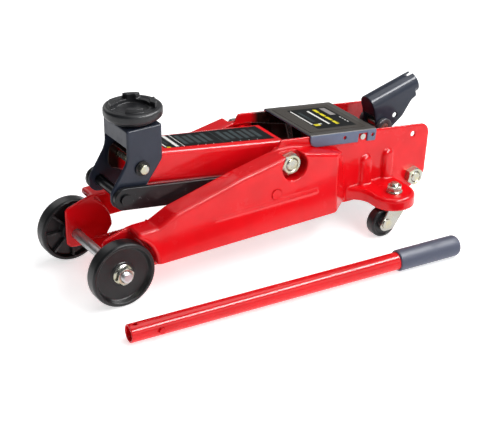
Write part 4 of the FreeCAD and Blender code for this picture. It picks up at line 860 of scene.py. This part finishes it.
class JACK_OT_springs(JackOperator, bpy.types.Operator):
    """Wind the return springs and the plunger's spring"""

    bl_idname = "jack.springs"
    bl_label = "Springs"

    # Points to a turn of a coil and of a hook, and the turns in which a coil's end is drawn in to its hook.
    STEPS, HOOK_STEPS, DRAWN = 16, 24, 0.75
    RETURN_TURNS, PLUNGER_TURNS = 30, 3.5
    # A return spring in millimetres: outer radius, its hook's play on the pin and the neck behind the hook.
    COIL, HOOK_PLAY, NECK = 3.4, 0.2, 1.6

    def build(self, scene):
        wire = scene.jack_shape.spring_wire
        self.return_pair(wire)
        self.plunger_spring(wire)

    def coil(self, start, end, radius, turns, hooks=False):
        """Points of a coil between two points, its ends drawn in to the axis where they turn into hooks."""
        axis = (end - start).normalized()
        side = axis.cross(ACROSS).normalized()
        other = axis.cross(side)
        count = int(turns * self.STEPS)
        points = []
        for i in range(count + 1):
            share = i / count
            drawn = min(1, share * turns / self.DRAWN, (1 - share) * turns / self.DRAWN) if hooks else 1
            angle = TURN * turns * share
            out = side * math.cos(angle) + other * math.sin(angle)
            points.append(start + (end - start) * share + out * radius * drawn)
        return points

    def return_pair(self, wire):
        """Two close-wound springs, each with a hook round the arm's pin; on the real jack they stretch as the
        arm lifts, but these are built in one pose.
        """
        low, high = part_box("return_springs")
        hooks_low, hooks_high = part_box("spring_hooks")
        hook = middle("spring_hooks")
        block_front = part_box("reservoir_shell")[1].x
        coil_radius = self.COIL * MM - wire
        loop_radius = (hooks_high.z - hooks_low.z) / 2 + wire + self.HOOK_PLAY * MM
        third = self.HOOK_STEPS // 3
        shape = bmesh.new()
        for across in (low.y + coil_radius + wire, high.y - coil_radius - wire):
            front = Vector((hook.x, across, hook.z))
            rear = Vector((block_front, across, low.z + coil_radius + wire))
            along = (rear - front).normalized()
            up = along.cross(ACROSS)
            angles = (TURN * k / self.HOOK_STEPS for k in range(third, -third - 1, -1))
            loop = [front + (along * -math.cos(a) + up * math.sin(a)) * loop_radius for a in angles]
            start = front + along * (loop_radius + self.NECK * MM)
            tube(shape, [*loop, start], wire)
            tube(shape, self.coil(start, rear, coil_radius, self.RETURN_TURNS, hooks=True), wire)
        piece = add("wound_return_springs", finished(shape), "bare_steel", "spring_steel", None,
                    "return_springs")
        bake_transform(piece)

    def plunger_spring(self, wire):
        """The spring that pushes the plunger back out of the pump block."""
        low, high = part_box("plunger_spring")
        centre = middle("plunger_spring")
        radius = (high.y - low.y) / 2 - wire
        start, end = Vector((low.x + wire, centre.y, centre.z)), Vector((high.x - wire, centre.y, centre.z))
        shape = bmesh.new()
        tube(shape, self.coil(start, end, radius, self.PLUNGER_TURNS), wire)
        piece = add("wound_plunger_spring", finished(shape), "bare_steel", "spring_steel", None,
                    "plunger_spring")
        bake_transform(piece)


class JACK_OT_socket(JackOperator, bpy.types.Operator):
    """Shape the handle socket"""

    bl_idname = "jack.socket"
    bl_label = "Handle Socket"

    def build(self, scene):
        soften("handle_socket", scene.jack_shape.fine_voxel, 5, "folded_socket", "satin_black", "black_paint",
               "handle_socket", 0.7)


class JACK_OT_front_wheels(JackOperator, bpy.types.Operator):
    """Mould the front wheels and turn their axle"""

    bl_idname = "jack.front_wheels"
    bl_label = "Front Wheels"

    # In millimetres: a wheel's bore and depth of dish, and half the axle's plain length. Then a wheel's ribs.
    BORE, DISH, PLAIN = 5.6, 5.2, 60
    RIBS = 8

    def build(self, scene):
        pitch = scene.jack_shape.pitch / MM
        for side, sign in SIDES:
            self.wheel(side, sign)
        self.axle(pitch)

    def wheel(self, side, sign):
        """A dished wheel; its profile starts inside and runs outwards along the axle."""
        node = f"front_wheel_{side}"
        half, rim = half_size(node)
        bore, web = self.BORE, half - self.DISH
        place = scaled(middle(node), (0, sign, 0))
        profile = rounded([
            (-half, bore, 0.3), (web + 0.9, bore, 0.3), (web + 0.9, 12.6, 0.8), (web, 13.6, 0.6),
            (web, rim - 6.6, 2.4), (half - 0.5, rim - 4.2, 0.8), (half, rim - 3.4, 0.7),
            (half, rim - 0.9, 1.2), (half - 2.6, rim, 1.6), (-half + 2.6, rim, 1.6), (-half, rim - 0.9, 1.2),
            (-half, rim - 3.8, 0.8), (web - 5, rim - 5.4, 2), (web - 5, bore + 7.6, 1.5),
            (-half, bore + 6, 0.8)])
        shape = spin(bmesh.new(), profile, place, WHEEL)
        self.ribs(shape, place, half, web, rim)
        add(f"moulded_wheel_{side}", finished(shape, WHEEL_SHARP), "black_nylon", "wheel_black", node, node)

    def ribs(self, shape, place, half, web, rim):
        """Stiffening ribs in the wheel's inner face."""
        corners = [(out, thick, up) for up in (-half + 1.6, web - 4.8) for out in (12.4, rim - 4.8)
                   for thick in (-1.1, 1.1)]
        faces = [(0, 1, 3, 2), (4, 6, 7, 5), (0, 4, 5, 1), (2, 3, 7, 6), (0, 2, 6, 4), (1, 5, 7, 3)]
        for i in range(self.RIBS):
            turn = place @ Matrix.Rotation(TURN * i / self.RIBS, 4, "Z")
            verts = [shape.verts.new(turn @ Vector(corner)) for corner in corners]
            for face in faces:
                shape.faces.new([verts[k] for k in face])

    def axle(self, pitch):
        """A plain shaft with a threaded end through each wheel."""
        half, radius = half_size("front_axle")
        centre = middle("front_axle")
        shape = bmesh.new()
        rod(shape, centre, self.PLAIN, radius)
        ends = thread(radius, pitch, self.PLAIN, half)
        for sign in (LEFT, RIGHT):
            spin(shape, ends, scaled(centre, (0, sign, 0)), SHAFT, closed=False)
        add("turned_axle", finished(shape), "bare_steel", "bare_steel", "chassis", "front_axle")
        dress("bare_steel", "axle_spacers")


class JACK_OT_fasteners(JackOperator, bpy.types.Operator):
    """Forge the nuts and bolts"""

    bl_idname = "jack.fasteners"
    bl_label = "Nuts and Bolts"

    # Nuts, in millimetres: across the flats, height, bore and, for the axle's, the flange's radius.
    AXLE_NUT, BLOCK_NUT = (17, 7.5, 5.5, 11), (19, 7.4, 6)
    # A block bolt's thread, from its nut's seat: where it starts and where it ends.
    BLOCK_ROOT, BLOCK_TIP = -11, 8.2
    # How far the nuts happen to be turned, in degrees.
    AXLE_TURN, PIVOT_TURN, BLOCK_TURN = 14, 8, 20
    # The arm's pivot: across its nuts' flats, its radius, and how far each tip stands out of its nut.
    PIVOT_ACROSS, PIVOT_RADIUS = 21, 7
    NEAR_TIP, FAR_TIP = 0.8, 2.8

    def build(self, scene):
        pitch = scene.jack_shape.pitch / MM
        self.axle_nuts()
        self.pivot(pitch)
        self.block_bolts(pitch)

    def axle_nuts(self):
        """A flange nut outside each front wheel."""
        shape = bmesh.new()
        for place in seats("axle_nuts", self.AXLE_NUT[1]):
            spin(shape, nut(*self.AXLE_NUT), place @ turned(self.AXLE_TURN), NUT)
        fasten("flange_nuts", shape, "axle_nuts")

    def pivot(self, pitch):
        """A shaft through the plates, with a nut and a threaded end at each side."""
        bolt_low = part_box("arm_pivot_bolt")[0]
        nut_low, nut_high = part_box("arm_pivot_nut")
        height, radius = (nut_high.y - nut_low.y) / MM, self.PIVOT_RADIUS
        hexagon_nut = nut(self.PIVOT_ACROSS, height, radius)
        shaft_middle = middle("arm_pivot_nut")
        shaft_middle.y = (bolt_low.y + self.NEAR_TIP * MM + height * MM + nut_low.y) / 2
        reach = nut_low.y - shaft_middle.y
        shaft, far = bmesh.new(), bmesh.new()
        rod(shaft, shaft_middle, reach / MM, radius)
        for sign, shape, tip in ((LEFT, shaft, self.NEAR_TIP), (RIGHT, far, self.FAR_TIP)):
            seat = scaled(shaft_middle + ACROSS * sign * reach, (0, sign, 0))
            spin(shaft, thread(radius, pitch, 0, height + tip), seat, SHAFT, closed=False)
            spin(shape, hexagon_nut, seat @ turned(self.PIVOT_TURN), NUT)
        fasten("pivot_shaft", shaft, "arm_pivot_bolt")
        fasten("pivot_nut", far, "arm_pivot_nut")

    def block_bolts(self, pitch):
        """A bolt end and its nut at each side of the pump block."""
        shape = bmesh.new()
        for place in seats("block_bolts", self.BLOCK_TIP):
            spin(shape, nut(*self.BLOCK_NUT), place @ turned(self.BLOCK_TURN), NUT)
            bolt = thread(self.BLOCK_NUT[2], pitch, self.BLOCK_ROOT, self.BLOCK_TIP)
            spin(shape, bolt, place, SHAFT, closed=False)
        fasten("block_nuts", shape, "block_bolts")


class JACK_OT_casters(JackOperator, bpy.types.Operator):
    """Build the rear casters: forks, studs, nuts and wheels"""

    bl_idname = "jack.casters"
    bl_label = "Casters"

    # A stud's nut, in millimetres: across the flats, height, bore and flange's radius. Then how far it is
    # turned, in degrees, and where the thread starts, from the nut's seat.
    STUD_NUT = (15, 8, 5, 9.1)
    STUD_TURN, ROOT = 11, -2

    def build(self, scene):
        shape = scene.jack_shape
        for side, sign in SIDES:
            node = f"caster_fork_{side}"
            soften(node, shape.fine_voxel, 4, f"pressed_fork_{side}", "fork_plate", "fork_zinc", node, 0.6)
            self.wheel(side, sign)
        self.studs(shape.pitch / MM)
        dress("zinc_plate", "caster_washers", "caster_axle_left", "caster_axle_right")

    def wheel(self, side, sign):
        """A narrow wheel, the same from both sides."""
        node = f"caster_wheel_{side}"
        half, rim = half_size(node)
        edge = half - 0.6
        near = [(edge + 0.6, 4.05, 0.2), (edge + 0.6, 7.2, 0.5), (edge - 1.2, 8, 0.5),
                (edge - 1.2, rim - 4, 0.8), (edge, rim - 2.8, 0.5), (edge, rim, 2.2)]
        far = [(-along, out, radius) for along, out, radius in reversed(near)]
        shape = spin(bmesh.new(), rounded([*near, *far]), scaled(middle(node), (0, sign, 0)), CASTER)
        add(f"moulded_caster_{side}", finished(shape, WHEEL_SHARP), "black_nylon", "wheel_black", node, node)

    def studs(self, pitch):
        """The studs that carry the forks: a head under each ear, a thread and a flange nut over it."""
        low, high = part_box("caster_nuts")
        stud_low, stud_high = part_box("caster_studs")
        across, height, radius, flange = self.STUD_NUT
        foot, tip = (stud_low.z - low.z) / MM, (stud_high.z - low.z) / MM
        head = [(foot, 0), (foot + 0.3, 5.4), (foot + 1, 6.6), (foot + 2.6, 6.8), (foot + 2.6, radius),
                (self.ROOT, radius)]
        nuts, studs = bmesh.new(), bmesh.new()
        for sign, edge in ((LEFT, low.y), (RIGHT, high.y)):
            place = scaled(Vector(((low.x + high.x) / 2, edge - sign * flange * MM, low.z)), (0, 0, 1))
            spin(nuts, nut(across, height, radius, flange), place @ turned(self.STUD_TURN * sign), NUT)
            spin(studs, thread(radius, pitch, self.ROOT, tip, head), place, SHAFT, closed=False)
        fasten("caster_flange_nuts", nuts, "caster_nuts")
        fasten("caster_threads", studs, "caster_studs", SHARP)


class JACK_OT_handle(JackOperator, bpy.types.Operator):
    """Draw the handle's tube and dip its grip"""

    bl_idname = "jack.handle"
    bl_label = "Handle"

    def build(self, scene):
        shape = scene.jack_shape
        soften("handle_tube", shape.fine_voxel, 3, "drawn_tube", "red_enamel", "handle_red", "handle", 0.35)
        soften("handle_grip", shape.fine_voxel, 3, "dipped_grip", "grey_vinyl", "grip_rubber", "handle", 0.4)
        dress("red_enamel", "handle_button")


class JACK_OT_stage(JackOperator, bpy.types.Operator):
    """Lay the pale floor and set the studio lights and the camera"""

    bl_idname = "jack.stage"
    bl_label = "Stage"

    # The camera in metres, its roll in degrees and its lens and sensor in millimetres.
    EYE, AIM = Vector((-0.7285, -1.0819, 0.7037)), Vector((0.0011, 0.0350, 0.0272))
    ROLL, LENS, SENSOR = 0.45, 97.32, 36
    # Each light: name, place, aim, size in metres and power in watts. The gleam shows only in reflections.
    LIGHTS = (
        ("overhead", (0.3, 0.1, 1.5), (0, 0, 0.05), (0.9, 0.9), 7),
        ("edge_box", (0.5, -0.5, 0.9), (0, 0, 0.1), (1.5, 0.26), 8.5),
        ("near_side", (0.4, -1.7, 0.6), (0, 0, 0.08), (1.2, 0.7), 5),
        ("rear_rim", (-0.1, 1.5, 0.9), (0, 0, 0.1), (0.9, 0.9), 3),
    )
    GLEAM = ("gleam", (0.5, -0.55, 0.9), (0, 0, 0.1), (1.5, 0.22), 24)
    # Strength of the surroundings in front of the jack and behind it, and where they are seen directly.
    SKY_DIM, SKY_BRIGHT, SKY_SEEN = 0.04, 0.4, 0.95
    # Half the floor's side and how far it lies under the wheels, in metres.
    FLOOR, FLOOR_GAP = 6, 0.2 * MM

    def build(self, scene):
        self.floor()
        for light in self.LIGHTS:
            self.softbox(*light)
        self.softbox(*self.GLEAM).visible_diffuse = False
        self.surroundings(scene)
        self.camera(scene)

    def floor(self):
        shape = bmesh.new()
        bmesh.ops.create_grid(shape, x_segments=24, y_segments=24, size=self.FLOOR)
        floor = placed("studio_floor", finished(shape))
        floor.data.materials.append(studio_floor())
        floor.location.z = -self.FLOOR_GAP

    def softbox(self, name, place, aim, size, power):
        lamp = bpy.data.lights.new(name, "AREA")
        lamp.energy = power
        lamp.shape = "RECTANGLE"
        lamp.size, lamp.size_y = size
        box = placed(name, lamp)
        box.location = place
        box.rotation_euler = (Vector(aim) - Vector(place)).to_track_quat("-Z", "Y").to_euler()
        return box

    def surroundings(self, scene):
        world = bpy.data.worlds.new("studio")
        world.use_nodes = True
        nodes, links = world.node_tree.nodes, world.node_tree.links
        background = nodes["Background"]
        background.inputs["Color"].default_value = (1, 1, 1, 1)
        sky = nodes.new("ShaderNodeMapRange")
        for title, value in (("From Min", -1), ("To Min", self.SKY_DIM), ("To Max", self.SKY_BRIGHT)):
            sky.inputs[title].default_value = value
        links.new(split_vector(world.node_tree, "ShaderNodeTexCoord", "Generated")["X"], sky.inputs["Value"])
        direct = nodes.new("ShaderNodeLightPath").outputs["Is Camera Ray"]
        seen = product(world.node_tree, direct, self.SKY_SEEN)
        strength = math_node(world.node_tree, "MAXIMUM", sky.outputs["Result"], seen)
        links.new(strength, background.inputs["Strength"])
        scene.world = world
        scene.view_settings.view_transform = "Standard"

    def camera(self, scene):
        lens = bpy.data.cameras.new("camera")
        lens.lens = self.LENS
        lens.sensor_width = self.SENSOR
        eye = placed("camera", lens)
        eye.location = self.EYE
        look = (self.AIM - self.EYE).to_track_quat("-Z", "Y").to_matrix().to_4x4()
        eye.rotation_euler = (look @ Matrix.Rotation(math.radians(self.ROLL), 4, "Z")).to_euler()
        scene.camera = eye


class JACK_PT_builders(bpy.types.Panel):
    """Lists the jack's builders in the sidebar"""

    bl_idname = "JACK_PT_builders"
    bl_label = "Trolley Jack"
    bl_space_type = "VIEW_3D"
    bl_region_type = "UI"
    bl_category = "Jack"

    def draw(self, context):
        for builder in BUILDERS:
            self.layout.operator(builder.bl_idname)
        for group in (context.scene.jack_paints, context.scene.jack_shape):
            for title in group.__annotations__:
                self.layout.prop(group, title)


BUILDERS = (JACK_OT_finishes, JACK_OT_chassis, JACK_OT_lifting_gear, JACK_OT_hydraulics, JACK_OT_springs,
            JACK_OT_socket, JACK_OT_front_wheels, JACK_OT_fasteners, JACK_OT_casters, JACK_OT_handle,
            JACK_OT_stage)
CLASSES = (JackPaints, JackShape, *BUILDERS, JACK_PT_builders)


def register():
    for item in CLASSES:
        bpy.utils.register_class(item)
    bpy.types.Scene.jack_paints = bpy.props.PointerProperty(type=JackPaints)
    bpy.types.Scene.jack_shape = bpy.props.PointerProperty(type=JackShape)


def unregister():
    del bpy.types.Scene.jack_shape
    del bpy.types.Scene.jack_paints
    for item in reversed(CLASSES):
        bpy.utils.unregister_class(item)


def main():
    register()
    for builder in BUILDERS:
        group, name = builder.bl_idname.split(".")
        getattr(getattr(bpy.ops, group), name)()


if __name__ == "__main__":
    main()
